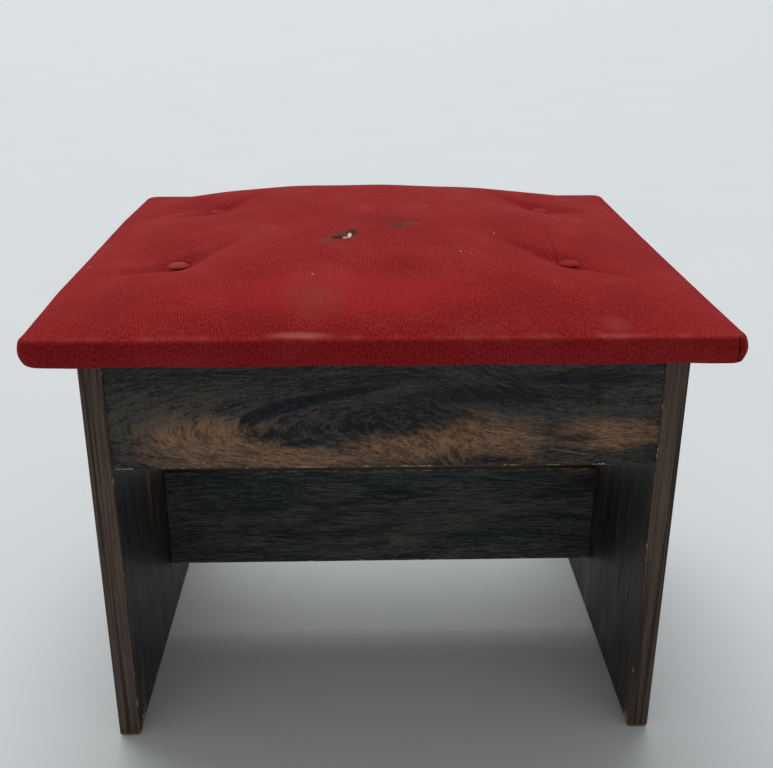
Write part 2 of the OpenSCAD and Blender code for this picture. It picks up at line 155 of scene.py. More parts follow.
class Shader:
    """Node tree of one material or of the world, with one method that makes every node."""

    def __init__(self, owner: bpy.types.Material | bpy.types.World) -> None:
        """Empties the owner's tree.

        Args:
            owner: The material or world that the nodes go into.
        """
        owner.use_nodes = True
        self.owner = owner
        self.tree = owner.node_tree
        self.tree.nodes.clear()

    @classmethod
    def named(cls, name: str) -> Shader:
        """Starts a new material."""
        return cls(bpy.data.materials.new(name))

    def node(
        self,
        kind: str,
        settings: dict[str, object] | None = None,
        sockets: dict[int | str, object] | None = None,
        output: int | str = 0,
    ) -> Wire:
        """Adds any node.

        Args:
            kind: Blender's type of node.
            settings: The node's own settings, which are made first.
            sockets: Values or wires of its inputs, by index or name.
            output: The output to return.

        Returns:
            That output as a wire.
        """
        made = self.tree.nodes.new(kind)
        for name, value in (settings or {}).items():
            setattr(made, name, value)
        for key, value in (sockets or {}).items():
            if isinstance(value, Wire):
                self.tree.links.new(value.socket, made.inputs[key])
            else:
                made.inputs[key].default_value = value
        return Wire(self, made.outputs[output])

    def place(self) -> Wire:
        """Place on the piece, in metres."""
        return self.node("ShaderNodeTexCoord", output="Object")

    def cloth_place(self) -> Wire:
        """Place on the unfolded cloth, in metres."""
        return self.node("ShaderNodeTexCoord", output="UV")

    def axes(self, vector: Wire) -> tuple[Wire, Wire, Wire]:
        """The three numbers of a vector."""
        first = self.node("ShaderNodeSeparateXYZ", sockets={0: vector})
        return first, first.other("Y"), first.other("Z")

    def joined(self, x: Wire | float, y: Wire | float, z: Wire | float = 0.0) -> Wire:
        """A vector from three numbers."""
        return self.node("ShaderNodeCombineXYZ", sockets={0: x, 1: y, 2: z})

    def drawn(self, vector: Wire, factors: Sequence[float], offset: Sequence[float] = (0, 0, 0)) -> Wire:
        """The vector times the factors plus an offset, which draws a pattern out and moves it."""
        return self.node("ShaderNodeVectorMath", {"operation": "MULTIPLY_ADD"},
                         {0: vector, 1: tuple(factors), 2: tuple(offset)})

    def sum(self, first: Wire, second: Wire) -> Wire:
        """Sum of two vectors."""
        return self.node("ShaderNodeVectorMath", {"operation": "ADD"}, {0: first, 1: second})

    def noise(self, vector: Wire, scale: float, detail: float = 2.0, rough: float = 0.5,
              swirl: float = 0.0) -> Wire:
        """Cloudy noise from 0 to 1."""
        return self.node("ShaderNodeTexNoise", sockets={
            "Vector": vector, "Scale": scale, "Detail": detail, "Roughness": rough,
            "Distortion": swirl})

    def streaks(self, vector: Wire, run: Run, draw: float, shift: Sequence[float] = (0, 0, 0),
                **pattern: float) -> Wire:
        """Noise drawn out along a board's run, until its features are draw times as wide as long."""
        return self.noise(self.drawn(vector, run.squeeze(draw), shift), **pattern)

    def cells(self, vector: Wire, scale: float) -> Wire:
        """Distance to the nearest of many scattered points."""
        return self.node("ShaderNodeTexVoronoi", sockets={"Vector": vector, "Scale": scale})

    def mix(self, share: Wire | float, first: Wire | Colour, second: Wire | Colour) -> Wire:
        """Blends two colours, given as wires or as display colours."""
        a, b = (c if isinstance(c, Wire) else linear(c) for c in (first, second))
        return self.node("ShaderNodeMix", {"data_type": "RGBA"}, {0: share, 6: a, 7: b}, output=2)

    def coats(self, colour: Wire, layers: Iterable[tuple[Wire, Colour]]) -> Wire:
        """Lays coats over a colour in order, each given by its share and its own colour."""
        for share, coat in layers:
            colour = self.mix(share, colour, coat)
        return colour

    def surface(self, colour: Wire, rough: Wire | float, relief: Wire | None = None,
                depth: float = 0.0, **sockets: object) -> bpy.types.Material:
        """Closes a material with a Principled shader.

        Args:
            colour: Base colour.
            rough: Roughness.
            relief: Height of its fine relief, from 0 to 1.
            depth: Depth of the relief in metres.
            **sockets: Other inputs, with underscores for spaces.

        Returns:
            The finished material.
        """
        inputs = {key.replace("_", " "): value for key, value in sockets.items()}
        inputs |= {"Base Color": colour, "Roughness": rough}
        if relief is not None:
            inputs["Normal"] = self.node(
                "ShaderNodeBump", sockets={"Height": relief, "Distance": depth})
        self.close("ShaderNodeOutputMaterial", self.node("ShaderNodeBsdfPrincipled", sockets=inputs))
        return self.owner

    def close(self, kind: str, closure: Wire) -> None:
        """Links a closure to a new output node of the given kind."""
        end = self.tree.nodes.new(kind)
        self.tree.links.new(closure.socket, end.inputs["Surface"])


class Run(Enum):
    """Direction in which a board's grain runs, as the axis number."""

    ACROSS = 0
    DEEP = 1
    UPRIGHT = 2

    def squeeze(self, share: float) -> Point:
        """Factors that draw a pattern out along the run."""
        return tuple(share if axis == self.value else 1.0 for axis in range(3))


@dataclass(frozen=True)
class Arris:
    """A straight edge of a board, where the laminate chips.

    Attributes:
        run: The axis that the edge is parallel to.
        at: Its place on the other two axes, in their order.
        reach: How far chips come in from the edge.
        cover: Share of the edge that is chipped, from 0 to 1.
    """

    run: Run
    at: Pair
    reach: float
    cover: float

    def distance(self, shader: Shader, place: Wire) -> Wire:
        """Distance to the edge."""
        others = [a for i, a in enumerate(shader.axes(place)) if i != self.run.value]
        off = [axis - start for axis, start in zip(others, self.at)]
        return (off[0] * off[0] + off[1] * off[1]) ** 0.5

    def chips(self, shader: Shader, place: Wire) -> Wire:
        """Mask of the chips: a reach that varies along the edge, less the distance to it.

        Args:
            shader: Where the nodes go.
            place: Place on the board.

        Returns:
            1 on a chip and 0 elsewhere.
        """
        patches = shader.noise(place, scale=95.0, detail=3.0, rough=0.6)
        crumbs = shader.noise(place, scale=900.0, rough=0.6)
        limit = patches.step(0.72 - 0.36 * self.cover, 0.78 - 0.3 * self.cover) * self.reach
        return (limit * (0.4 + 1.2 * crumbs) - self.distance(shader, place)).step(0.0, 0.35 * MM)


@dataclass(frozen=True)
class ScuffedArris(Arris):
    """A straight edge near which small crumbs of the laminate are gone, fewer with distance."""

    def chips(self, shader: Shader, place: Wire) -> Wire:
        """Mask of the crumbs: round spots at scattered points, within the reach.

        Args:
            shader: Where the nodes go.
            place: Place on the board.

        Returns:
            1 on a crumb and 0 elsewhere.
        """
        points = shader.cells(place, scale=130.0)
        near = 1.0 - self.distance(shader, place).step(0.3 * self.reach, self.reach)
        return (1.0 - points.step(0.10, 0.20)) * near * self.cover


@dataclass(frozen=True)
class Nick:
    """A place where a piece of the laminate has broken off.

    Attributes:
        centre: Its middle.
        radii: Its half sizes.
    """

    centre: Point
    radii: Point

    def chips(self, shader: Shader, place: Wire) -> Wire:
        """Mask of the nick: the distance from its middle in half sizes, roughened by noise.

        Args:
            shader: Where the nodes go.
            place: Place on the board.

        Returns:
            1 on the nick and 0 elsewhere.
        """
        scale = [1 / r for r in self.radii]
        offset = [-c / r for c, r in zip(self.centre, self.radii)]
        distance = shader.node("ShaderNodeVectorMath", {"operation": "LENGTH"},
                               {0: shader.drawn(place, scale, offset)}, output="Value")
        ragged = shader.noise(place, scale=260.0, detail=4.0, rough=0.7)
        return 1.0 - (distance + (ragged - 0.5) * 1.6).step(0.7, 0.95)


def spot(across: Wire, along: Wire, centre: Pair, radii: Pair, ragged: Wire) -> Wire:
    """Soft oval mask.

    Args:
        across: First coordinate.
        along: Second coordinate.
        centre: Middle of the oval.
        radii: Half sizes of the oval.
        ragged: Noise from 0 to 1 that roughens its outline.

    Returns:
        1 in the middle, falling to 0 past the outline.
    """
    first = (across - centre[0]) / radii[0]
    second = (along - centre[1]) / radii[1]
    distance = (first * first + second * second) ** 0.5 + (ragged - 0.5) * 1.3
    return 1.0 - distance.step(0.35, 1.30)


def line(across: Wire, along: Wire, start: Pair, end: Pair, width: float) -> Wire:
    """Mask of a thin straight mark: 1 on the segment, 0 past its width.

    Args:
        across: First coordinate.
        along: Second coordinate.
        start: One end of the segment.
        end: Its other end.
        width: Distance from the segment at which the mask has fallen to 0.

    Returns:
        The mask.
    """
    run = (end[0] - start[0], end[1] - start[1])
    first, second = across - start[0], along - start[1]
    share = ((first * run[0] + second * run[1]) / (run[0] ** 2 + run[1] ** 2)).most(0.0).least(1.0)
    first, second = first - share * run[0], second - share * run[1]
    return 1.0 - ((first * first + second * second) ** 0.5).step(0.3 * width, width)


@dataclass(frozen=True)
class ApronFigure:
    """Swirl and patches printed on the front apron, as ovals of centre and half sizes in metres.

    Attributes:
        warm: Warm brown patches.
        ink: Blue-black patches.
        nose: Blunt end of the swirl, from which an arm rises to the right as a parabola.
        opening: How fast the arm's run grows with the square of its rise.
        arm: Length of the arm.
        thick: Half thickness of the arm at the nose and at its tail.
        even_at: Rise at which the bent grain is as fine as the straight grain.
        fades: Places from left to right between which the bent grain turns straight.
        scratch: Ends of a scratch.
    """

    warm: tuple[tuple[Pair, Pair], ...] = (
        ((-0.138, 0.280), (0.056, 0.026)),
        ((-0.070, 0.267), (0.056, 0.012)),
        ((0.010, 0.275), (0.050, 0.014)),
        ((0.078, 0.282), (0.052, 0.021)),
        ((0.172, 0.286), (0.050, 0.014)),
    )
    ink: tuple[tuple[Pair, Pair], ...] = (
        ((-0.091, 0.2885), (0.023, 0.0062)),
        ((-0.063, 0.2800), (0.014, 0.0040)),
        ((0.070, 0.3200), (0.085, 0.0080)),
        ((0.150, 0.3330), (0.060, 0.0060)),
        ((0.160, 0.3260), (0.008, 0.0160)),
        ((0.084, 0.2640), (0.024, 0.0050)),
        ((0.148, 0.2830), (0.018, 0.0050)),
    )
    nose: Pair = (-0.112, 0.292)
    opening: float = 90.0
    arm: float = 0.125
    thick: Pair = (7.0 * MM, 2.2 * MM)
    even_at: float = 33.0 * MM
    fades: Pair = (-0.02, 0.13)
    scratch: tuple[Pair, Pair] = ((0.128, 0.274), (0.193, 0.261))

    def flow(self, shader: Shader, place: Wire) -> Wire:
        """Bends the grain round the swirl, as nested parabolas that open to the right.

        Across the grain a plain board counts the height; here it counts the height squared less
        the run, scaled to match at one height, and fades to the plain count on the right.

        Args:
            shader: Where the nodes go.
            place: Place on the board.

        Returns:
            The bent place, for the grain's patterns.
        """
        x, y, z = shader.axes(place)
        rise = z - self.nose[1]
        scale = 1.0 / (2 * self.opening * self.even_at)
        nested = rise * rise * (self.opening * scale) - (x - self.nose[0]) * scale
        plain = x.step(*self.fades)
        return shader.joined(x, y, nested * (1.0 - plain) + rise * plain)

    def masks(self, shader: Shader, place: Wire, ragged: Wire) -> tuple[Wire, Wire, Wire]:
        """The warm areas, the blue-black areas and the scratch of the board.

        Args:
            shader: Where the nodes go.
            place: Place on the board.
            ragged: Noise that roughens the outlines.

        Returns:
            One mask for each.
        """
        x, _, z = shader.axes(place)
        warm = [spot(x, z, *oval, ragged) for oval in self.warm]
        ink = [self._swirl(x, z, ragged), *(spot(x, z, *oval, ragged) * 0.8 for oval in self.ink)]
        scratch = line(x, z, *self.scratch, 0.9 * MM) * ragged.step(0.42, 0.60) * 0.5
        return reduce(Wire.most, warm), reduce(Wire.most, ink), scratch

    def _swirl(self, x: Wire, z: Wire, ragged: Wire) -> Wire:
        """The arm: its middle rises with the root of the run, and it thins towards its tail.

        Args:
            x: Place across.
            z: Height.
            ragged: Noise that roughens its outline.

        Returns:
            Its mask.
        """
        run = (x - self.nose[0]).most(0.0)
        middle = (run / self.opening) ** 0.5 + self.nose[1]
        taper = (self.thick[0] - self.thick[1]) / self.arm
        half = self.thick[0] - run * taper
        off = (z - middle).size() / half.most(self.thick[1]) + (ragged - 0.5) * 1.1
        inside = (x - self.nose[0]).step(-3 * MM, 2 * MM) * (1.0 - run.step(0.8 * self.arm, self.arm))
        return (1.0 - off.step(0.5, 1.4)) * inside


@dataclass(frozen=True)
class RosewoodFinish:
    """Printed rosewood laminate: dark drawn-out bands, fine pores, warm and blue-black clouds.

    Attributes:
        deep: Darkest brown between the bands.
        brown: Brown of the bands.
        warm: Light brown of the warm clouds.
        ink: Blue-black of the dark clouds.
        chip: Raw board where the laminate has chipped.
        gloss: Lowest roughness.
        clouds: Strength of the random warm and dark clouds.
        wander: How far the grain strays from straight.
        draw: Width of the threads and of the pores as a share of their length.
    """

    deep: Colour = (17, 22, 27)
    brown: Colour = (72, 67, 62)
    warm: Colour = (144, 109, 80)
    ink: Colour = (10, 17, 26)
    chip: Colour = (156, 134, 106)
    gloss: float = 0.36
    clouds: float = 0.8
    wander: float = 0.035
    draw: Pair = (0.05, 0.08)

    def material(self, name: str, run: Run, seed: float, arrises: Iterable[Arris | Nick] = (),
                 figure: ApronFigure | None = None) -> bpy.types.Material:
        """Makes the finish of one board.

        Args:
            name: Name of the material.
            run: Direction of its grain.
            seed: Shift of the pattern, so that boards differ.
            arrises: Edges and places that are chipped.
            figure: Placed figure and scratch, where the board shows them.

        Returns:
            The material.
        """
        shader = Shader.named(name)
        place = shader.place()
        shift = (seed, seed * 1.7, seed * 0.6)
        flow = place if figure is None else figure.flow(shader, place)
        stray = shader.streaks(place, run, 0.3, shift, scale=11.0, detail=3.0).other("Color")
        flow = shader.sum(flow, shader.drawn(stray, (self.wander,) * 3))
        bands = shader.streaks(flow, run, 0.10, shift, scale=55.0, detail=6.0, rough=0.66, swirl=0.5)
        threads = shader.streaks(flow, run, self.draw[0], shift, scale=620.0, detail=3.0, rough=0.6)
        pores = shader.streaks(flow, run, self.draw[1], shift, scale=1500.0)
        ragged = shader.streaks(flow, run, 0.20, shift, scale=110.0, detail=5.0, rough=0.68, swirl=0.4)
        fine = threads * 0.5 + pores * 0.5
        grain = bands * 0.34 + fine * 0.66
        marks = []
        if figure is None:
            warm = shader.streaks(flow, run, 0.22, shift, scale=15.0, detail=4.0, rough=0.6, swirl=0.8)
            ink = shader.streaks(
                flow, run, 0.16, (*shift[1:], shift[0]), scale=24.0, detail=4.0, rough=0.6, swirl=1.0)
            warm, ink = warm.step(0.52, 0.72) * self.clouds, ink.step(0.52, 0.68) * self.clouds
        else:
            warm, ink, scratch = figure.masks(shader, place, ragged)
            marks.append(scratch)
        dust = shader.cells(shader.drawn(place, (1, 1, 1), shift), scale=95.0)
        marks += [arris.chips(shader, place) for arris in arrises]
        colour = shader.coats(shader.mix(grain.step(0.43, 0.59), self.deep, self.brown), [
            (warm * (0.28 + 0.72 * fine.step(0.38, 0.64)), self.warm),
            (ink * (1.0 - 0.4 * fine.step(0.5, 0.6)), self.ink),
            ((1.0 - dust.step(0.03, 0.07)) * 0.25, self.chip),
            *((mark, self.chip) for mark in marks),
        ])
        smears = shader.noise(place, scale=26.0, detail=3.0, rough=0.6)
        return shader.surface(colour, self.gloss + 0.14 * smears + 0.10 * pores,
                              threads * 0.6 + pores * 0.4, 0.06 * MM, Specular_IOR_Level=0.14)


@dataclass(frozen=True)
class EdgeBandFinish:
    """Brown edging with a few thin dark lines along its length and worn ends.

    Attributes:
        wood: Main brown.
        pale: Brown of the paler lines.
        line: Dark lines.
        worn: Raw board where the band is worn through.
    """

    wood: Colour = (72, 60, 52)
    pale: Colour = (104, 86, 74)
    line: Colour = (28, 24, 23)
    worn: Colour = (158, 134, 106)

    def material(self, name: str, run: Run, seed: float, arris: Arris) -> bpy.types.Material:
        """Makes the finish of one band. An upright one stands on the floor and is worn there.

        Args:
            name: Name of the material.
            run: Direction of its length.
            seed: Shift of the pattern.
            arris: Edge that is chipped.

        Returns:
            The material.
        """
        shader = Shader.named(name)
        place = shader.place()
        shift = (seed, seed * 1.3, seed * 0.8)
        broad = shader.streaks(place, run, 0.012, shift, scale=330.0)
        thin = shader.streaks(place, run, 0.008, shift, scale=900.0, rough=0.6)
        speck = shader.streaks(place, run, 0.10, shift, scale=1800.0, rough=0.6)
        colour = shader.coats(shader.mix(thin.step(0.40, 0.66), self.wood, self.pale), [
            (broad.step(0.57, 0.63) * 0.72, self.line),
            (thin.step(0.60, 0.66) * 0.60, self.line),
            (speck.step(0.50, 0.70) * 0.40, self.line),
            (arris.chips(shader, place), self.worn),
        ])
        if run is Run.UPRIGHT:
            height = shader.axes(place)[2] + speck * 4 * MM
            colour = shader.mix((1.0 - height.step(2.2 * MM, 4.8 * MM)) * 0.75, colour, self.worn)
        return shader.surface(
            colour, 0.44 + 0.18 * speck, thin * 0.5 + speck * 0.5, 0.08 * MM, Specular_IOR_Level=0.14)


@dataclass(frozen=True)
class ClothPatch:
    """A mark on the cloth, or a patch of painted shadow on it.

    Attributes:
        centre: Its middle on the unfolded cloth.
        radii: Its half sizes.
        colour: Its colour.
        strength: How much it covers.
    """

    centre: Pair
    radii: Pair
    colour: Colour
    strength: float


@dataclass(frozen=True)
class VelourFinish:
    """Red ribbed velour: fine ribs from front to back, chenille specks, dust, wear and marks, with painted
    shade along crease lines and on the front face.

    Attributes:
        valley: Colour between the ribs.
        crest: Colour on the ribs.
        dust: Greyish pink of dusty and rubbed pile.
        lint: White fluff.
        glow: Colour of the pile's pale edge glow.
        pitch: Distance from rib to rib.
        sheen: Weight of the glow.
    """

    valley: Colour = (100, 13, 17)
    crest: Colour = (178, 42, 44)
    dust: Colour = (176, 92, 92)
    lint: Colour = (225, 200, 195)
    glow: Colour = (225, 110, 105)
    pitch: float = 2.1 * MM
    sheen: float = 0.20

    def material(self, name: str, stains_and_shade: Iterable[ClothPatch] = (),
                 shaded_creases: Iterable[tuple[Pair, Pair]] = (), crease_rub_and_shade: float | None = None,
                 fade: float = 0.0) -> bpy.types.Material:
        """Makes the finish of the cover or of a button.

        Args:
            name: Name of the material.
            stains_and_shade: Marks on the cloth, and patches of painted shadow.
            shaded_creases: Ends of each fine crease, along which shade is painted as a darker line.
            crease_rub_and_shade: Place along the cloth of the front crease, where the pile is worn pale.
                Past it the cloth is darkened as painted shade on the front face.
            fade: How far the whole cloth has faded towards the dust.

        Returns:
            The material.
        """
        shader = Shader.named(name)
        place = shader.cloth_place()
        across, along, _ = shader.axes(place)
        wander = shader.noise(place, scale=40.0) * 3.2 * MM
        ribs = ((across + wander) * (2 * math.pi / self.pitch)).sine() * 0.5 + 0.5
        plain = shader.noise(place, scale=28.0).step(0.42, 0.66)
        tufts = shader.noise(
            shader.joined(across, along * 0.55), scale=640.0, detail=3.0, rough=0.68)
        fuzz = shader.noise(place, scale=2000.0, rough=0.7)
        pile = ribs * (0.11 - 0.08 * plain) + tufts * (0.57 + 0.08 * plain) + fuzz * 0.32
        clouds = shader.noise(place, scale=13.0, detail=4.0, rough=0.6, swirl=0.6)
        patches = shader.noise(
            shader.drawn(place, (1, 0.5, 1), (3, 1, 0)), scale=34.0, detail=3.0, rough=0.6)
        specks = shader.noise(shader.joined(across, along * 0.5), scale=1100.0, rough=0.6)
        coats = [
            (clouds.step(0.46, 0.66) * 0.20, self.valley),
            ((1.0 - clouds).step(0.50, 0.68) * 0.10 + fade, self.dust),
            (patches.step(0.60, 0.74) * 0.10, self.dust),
            (specks.step(0.60, 0.68) * 0.30, self.dust),
        ]
        # Painted shade: a darker line in the valley colour along each crease.
        for start, end in shaded_creases:
            fold = line(across + (tufts - 0.5) * 1.5 * MM, along, start, end, 1.3 * MM)
            coats.append((fold * 0.55, self.valley))
        if crease_rub_and_shade is not None:
            near = 1.0 - ((along - crease_rub_and_shade).size() / (3.0 * MM) + (tufts - 0.5) * 4.0).step(0.2, 1.4)
            # Painted shade: below the front crease the cloth is darkened towards the valley colour.
            coats.append(((crease_rub_and_shade - along).step(0.0, 6.0 * MM) * 0.30, self.valley))
            coats.append((near * patches.step(0.46, 0.66) * 0.30, self.dust))
        ragged = tufts * 0.6 + patches * 0.4
        for patch in stains_and_shade:
            oval = spot(across, along, patch.centre, patch.radii, ragged)
            coats.append((oval * patch.strength, patch.colour))
        fluff = 1.0 - shader.cells(place, scale=42.0).step(0.022, 0.05)
        picked = shader.noise(place, scale=23.0, detail=1.0).step(0.56, 0.60)
        coats.append((fluff * picked * 0.8, self.lint))
        colour = shader.coats(shader.mix(pile.step(0.34, 0.68), self.valley, self.crest), coats)
        return shader.surface(
            colour, 0.88 + 0.1 * fuzz, pile, 0.55 * MM, Sheen_Weight=self.sheen,
            Sheen_Roughness=0.35, Sheen_Tint=linear(self.glow), Specular_IOR_Level=0.06)


@dataclass(frozen=True)
class ChipboardFinish:
    """Raw chipboard: pressed flakes of many tones."""

    dark: Colour = (146, 110, 74)
    light: Colour = (206, 174, 132)

    def material(self, name: str) -> bpy.types.Material:
        """Makes the finish: flat flakes from scattered cells, under fine dust.

        Args:
            name: Name of the material.

        Returns:
            The material.
        """
        shader = Shader.named(name)
        place = shader.place()
        flakes = shader.cells(shader.drawn(place, (1.0, 0.45, 1.6)), scale=260.0)
        tone = shader.axes(flakes.other("Color"))[0]
        fines = shader.noise(place, scale=900.0, detail=3.0, rough=0.65)
        colour = shader.mix(tone.step(0.0, 1.2), self.dark, self.light)
        colour = shader.mix(fines.step(0.5, 0.75) * 0.45, colour, self.dark)
        return shader.surface(colour, 0.82 + 0.1 * fines, flakes * 0.5 + fines * 0.5, 0.25 * MM)


@dataclass(frozen=True)
class TimberFinish:
    """Plain planed timber, as softwood blocks or beech dowels."""

    early: Colour = (214, 180, 130)
    late: Colour = (176, 128, 78)
    rings: float = 210.0

    def material(self, name: str, run: Run) -> bpy.types.Material:
        """Makes the finish: growth rings as bands drawn out along the grain, with fine fibres.

        Args:
            name: Name of the material.
            run: Direction of its grain.

        Returns:
            The material.
        """
        shader = Shader.named(name)
        place = shader.place()
        rings = shader.streaks(place, run, 0.06, scale=self.rings, swirl=0.3)
        fibres = shader.streaks(place, run, 0.04, scale=1500.0, rough=0.6)
        colour = shader.mix((rings * 0.75 + fibres * 0.25).step(0.42, 0.62), self.early, self.late)
        return shader.surface(colour, 0.6 + 0.15 * fibres, fibres, 0.12 * MM)


@dataclass(frozen=True)
class ZincFinish:
    """Zinc-plated steel with a faint spangle and dull spots."""

    bright: Colour = (190, 192, 196)
    dull: Colour = (128, 126, 124)

    def material(self, name: str) -> bpy.types.Material:
        """Makes the finish: plating whose gloss and tone vary in small clouds.

        Args:
            name: Name of the material.

        Returns:
            The material.
        """
        shader = Shader.named(name)
        clouds = shader.noise(shader.place(), scale=420.0, detail=3.0, rough=0.6)
        colour = shader.mix(clouds.step(0.45, 0.70), self.bright, self.dull)
        return shader.surface(colour, 0.26 + 0.24 * clouds, clouds, 0.04 * MM, Metallic=1.0)


@dataclass(frozen=True)
class FoamFinish:
    """Cut polyurethane foam with open cells, yellowed with age."""

    fresh: Colour = (226, 204, 150)
    aged: Colour = (196, 160, 100)

    def material(self, name: str) -> bpy.types.Material:
        """Makes the finish: small round cells under broad clouds of yellowing.

        Args:
            name: Name of the material.

        Returns:
            The material.
        """
        shader = Shader.named(name)
        place = shader.place()
        pores = shader.cells(place, scale=900.0)
        clouds = shader.noise(place, scale=30.0, detail=3.0)
        colour = shader.mix(clouds.step(0.4, 0.7), self.fresh, self.aged)
        colour = shader.mix((1.0 - pores.step(0.1, 0.45)) * 0.4, colour, self.aged)
        return shader.surface(colour, 0.92 + 0.05 * pores, pores, 0.5 * MM)


@dataclass(frozen=True)
class TwineFinish:
    """Twisted button twine: slanted strands with loose fibres.

    Attributes:
        strand: Colour of the strands.
        gap: Colour between them.
        lay: Height of one turn of the twist.
    """

    strand: Colour = (224, 212, 184)
    gap: Colour = (150, 134, 104)
    lay: float = 2.6 * MM

    def material(self, name: str) -> bpy.types.Material:
        """Makes the finish: strands as a wave of height plus place across the twine.

        Args:
            name: Name of the material.

        Returns:
            The material.
        """
        shader = Shader.named(name)
        place = shader.place()
        x, y, z = shader.axes(place)
        wave = ((z + (x + y) * 0.8) * (2 * math.pi / self.lay)).sine() * 0.5 + 0.5
        fibres = shader.noise(place, scale=2400.0, rough=0.6)
        twist = wave * 0.7 + fibres * 0.3
        colour = shader.mix(twist.step(0.2, 0.7), self.gap, self.strand)
        return shader.surface(colour, 0.8 + 0.1 * fibres, twist, 0.4 * MM)


def strip_quads(upper: np.ndarray, lower: np.ndarray) -> np.ndarray:
    """Quads between two closed loops that run counter-clockwise, facing out where lower is below."""
    return np.stack([upper, lower, np.roll(lower, -1), np.roll(upper, -1)], -1)


def bell(off: np.ndarray, width: float) -> np.ndarray:
    """1 where off is 0, falling as a bell to about a third at the width."""
    return np.exp(-((off / width) ** 2))


def lifted(x: np.ndarray, y: np.ndarray, z: np.ndarray | float) -> np.ndarray:
    """Points over places in plan, where one level may serve them all."""
    return np.stack([x, y, np.broadcast_to(z, x.shape)], -1)


def new_piece(name: str, points: np.ndarray, faces: Sequence[Sequence[int]],
              flat: np.ndarray | None = None) -> bpy.types.Object:
    """Makes a smooth-shaded mesh object at the origin.

    Args:
        name: Name of the piece.
        points: Vertices, one row each.
        faces: Vertex numbers of each face.
        flat: Place of each vertex on the unfolded cloth, for its UV map.

    Returns:
        The object, linked to the scene.
    """
    mesh = bpy.data.meshes.new(name)
    mesh.from_pydata(points.tolist(), [], faces)
    mesh.polygons.foreach_set("use_smooth", np.ones(len(mesh.polygons), bool))
    if flat is not None:
        corners = np.empty(len(mesh.loops), np.int32)
        mesh.loops.foreach_get("vertex_index", corners)
        mesh.uv_layers.new(name="cloth").data.foreach_set("uv", flat[corners].ravel())
    mesh.update()
    piece = bpy.data.objects.new(name, mesh)
    bpy.context.scene.collection.objects.link(piece)
    return piece


@dataclass(frozen=True)
class Pull:
    """A straight hollow that a button pulls into the cloth.

    Attributes:
        start: Where it is deepest, in plan.
        end: Where it has died out.
        depth: Depth at the start.
        width: Half width.
    """

    start: Pair
    end: Pair
    depth: float
    width: float

    def drop(self, x: np.ndarray, y: np.ndarray) -> np.ndarray:
        """Depth times a bell over the distance to the line, times what is left of its length.

        Args:
            x: Places across.
            y: Places along the depth.

        Returns:
            How far each place is drawn down.
        """
        run = np.subtract(self.end, self.start)
        share = np.clip(((x - self.start[0]) * run[0] + (y - self.start[1]) * run[1]) / run.dot(run), 0, 1)
        off = np.hypot(x - self.start[0] - share * run[0], y - self.start[1] - share * run[1])
        return self.depth * bell(off, self.width) * (1.0 - share**1.5)


@dataclass(frozen=True)
class Swell:
    """A place where the padding stands higher.

    Attributes:
        centre: Its middle in plan.
        height: How much it adds.
        radii: Its half sizes.
    """

    centre: Pair
    height: float
    radii: Pair

    def rise(self, x: np.ndarray, y: np.ndarray) -> np.ndarray:
        """Height times a bell over the distance from the middle, measured in half sizes."""
        off = ((x - self.centre[0]) / self.radii[0]) ** 2 + ((y - self.centre[1]) / self.radii[1]) ** 2
        return self.height * np.exp(-off)


@dataclass(frozen=True)
class Tuck:
    """A corner of the cover, where spare cloth is folded away.

    Attributes:
        corner: Signs of the corner in x and y.
        swell: How far the folded cloth stands out beside the corner.
        groove: Depth of the fold's edge.
        hem: How far the lower edge is drawn in at the corner.
    """

    corner: Pair
    swell: float
    groove: float
    hem: float


@dataclass(frozen=True)
class Relief:
    """Extra height on a grid of plan shares.

    Attributes:
        us: Shares of the grid lines across.
        vs: Shares of the grid lines along.
        lift: Height at each crossing, a row for each line along.
    """

    us: np.ndarray
    vs: np.ndarray
    lift: np.ndarray

    def at(self, u: np.ndarray, v: np.ndarray) -> np.ndarray:
        """Height anywhere, straight between the grid lines along each axis.

        Args:
            u: Shares of the half width, from -1 to 1.
            v: Shares of the half depth, from -1 to 1.

        Returns:
            The height at each place.
        """
        i = np.clip(np.searchsorted(self.us, u) - 1, 0, len(self.us) - 2)
        j = np.clip(np.searchsorted(self.vs, v) - 1, 0, len(self.vs) - 2)
        s = (u - self.us[i]) / (self.us[i + 1] - self.us[i])
        t = (v - self.vs[j]) / (self.vs[j + 1] - self.vs[j])
        near = self.lift[j, i] * (1 - s) + self.lift[j, i + 1] * s
        far = self.lift[j + 1, i] * (1 - s) + self.lift[j + 1, i + 1] * s
        return near * (1 - t) + far * t

    def finer(self, parts: int, passes: int) -> Relief:
        """The same relief on a finer grid, with its kinks smoothed out.

        Args:
            parts: New spaces for each old one.
            passes: Times that each value takes a quarter of either neighbour on both axes.

        Returns:
            The finer relief.
        """
        count_u, count_v = len(self.us), len(self.vs)
        us = np.interp(np.linspace(0, count_u - 1, (count_u - 1) * parts + 1), range(count_u), self.us)
        vs = np.interp(np.linspace(0, count_v - 1, (count_v - 1) * parts + 1), range(count_v), self.vs)
        lift = self.at(*np.meshgrid(us, vs))
        for _ in range(passes):
            lift[1:-1] = (lift[:-2] + 2 * lift[1:-1] + lift[2:]) / 4
            lift[:, 1:-1] = (lift[:, :-2] + 2 * lift[:, 1:-1] + lift[:, 2:]) / 4
        return Relief(us, vs, lift)


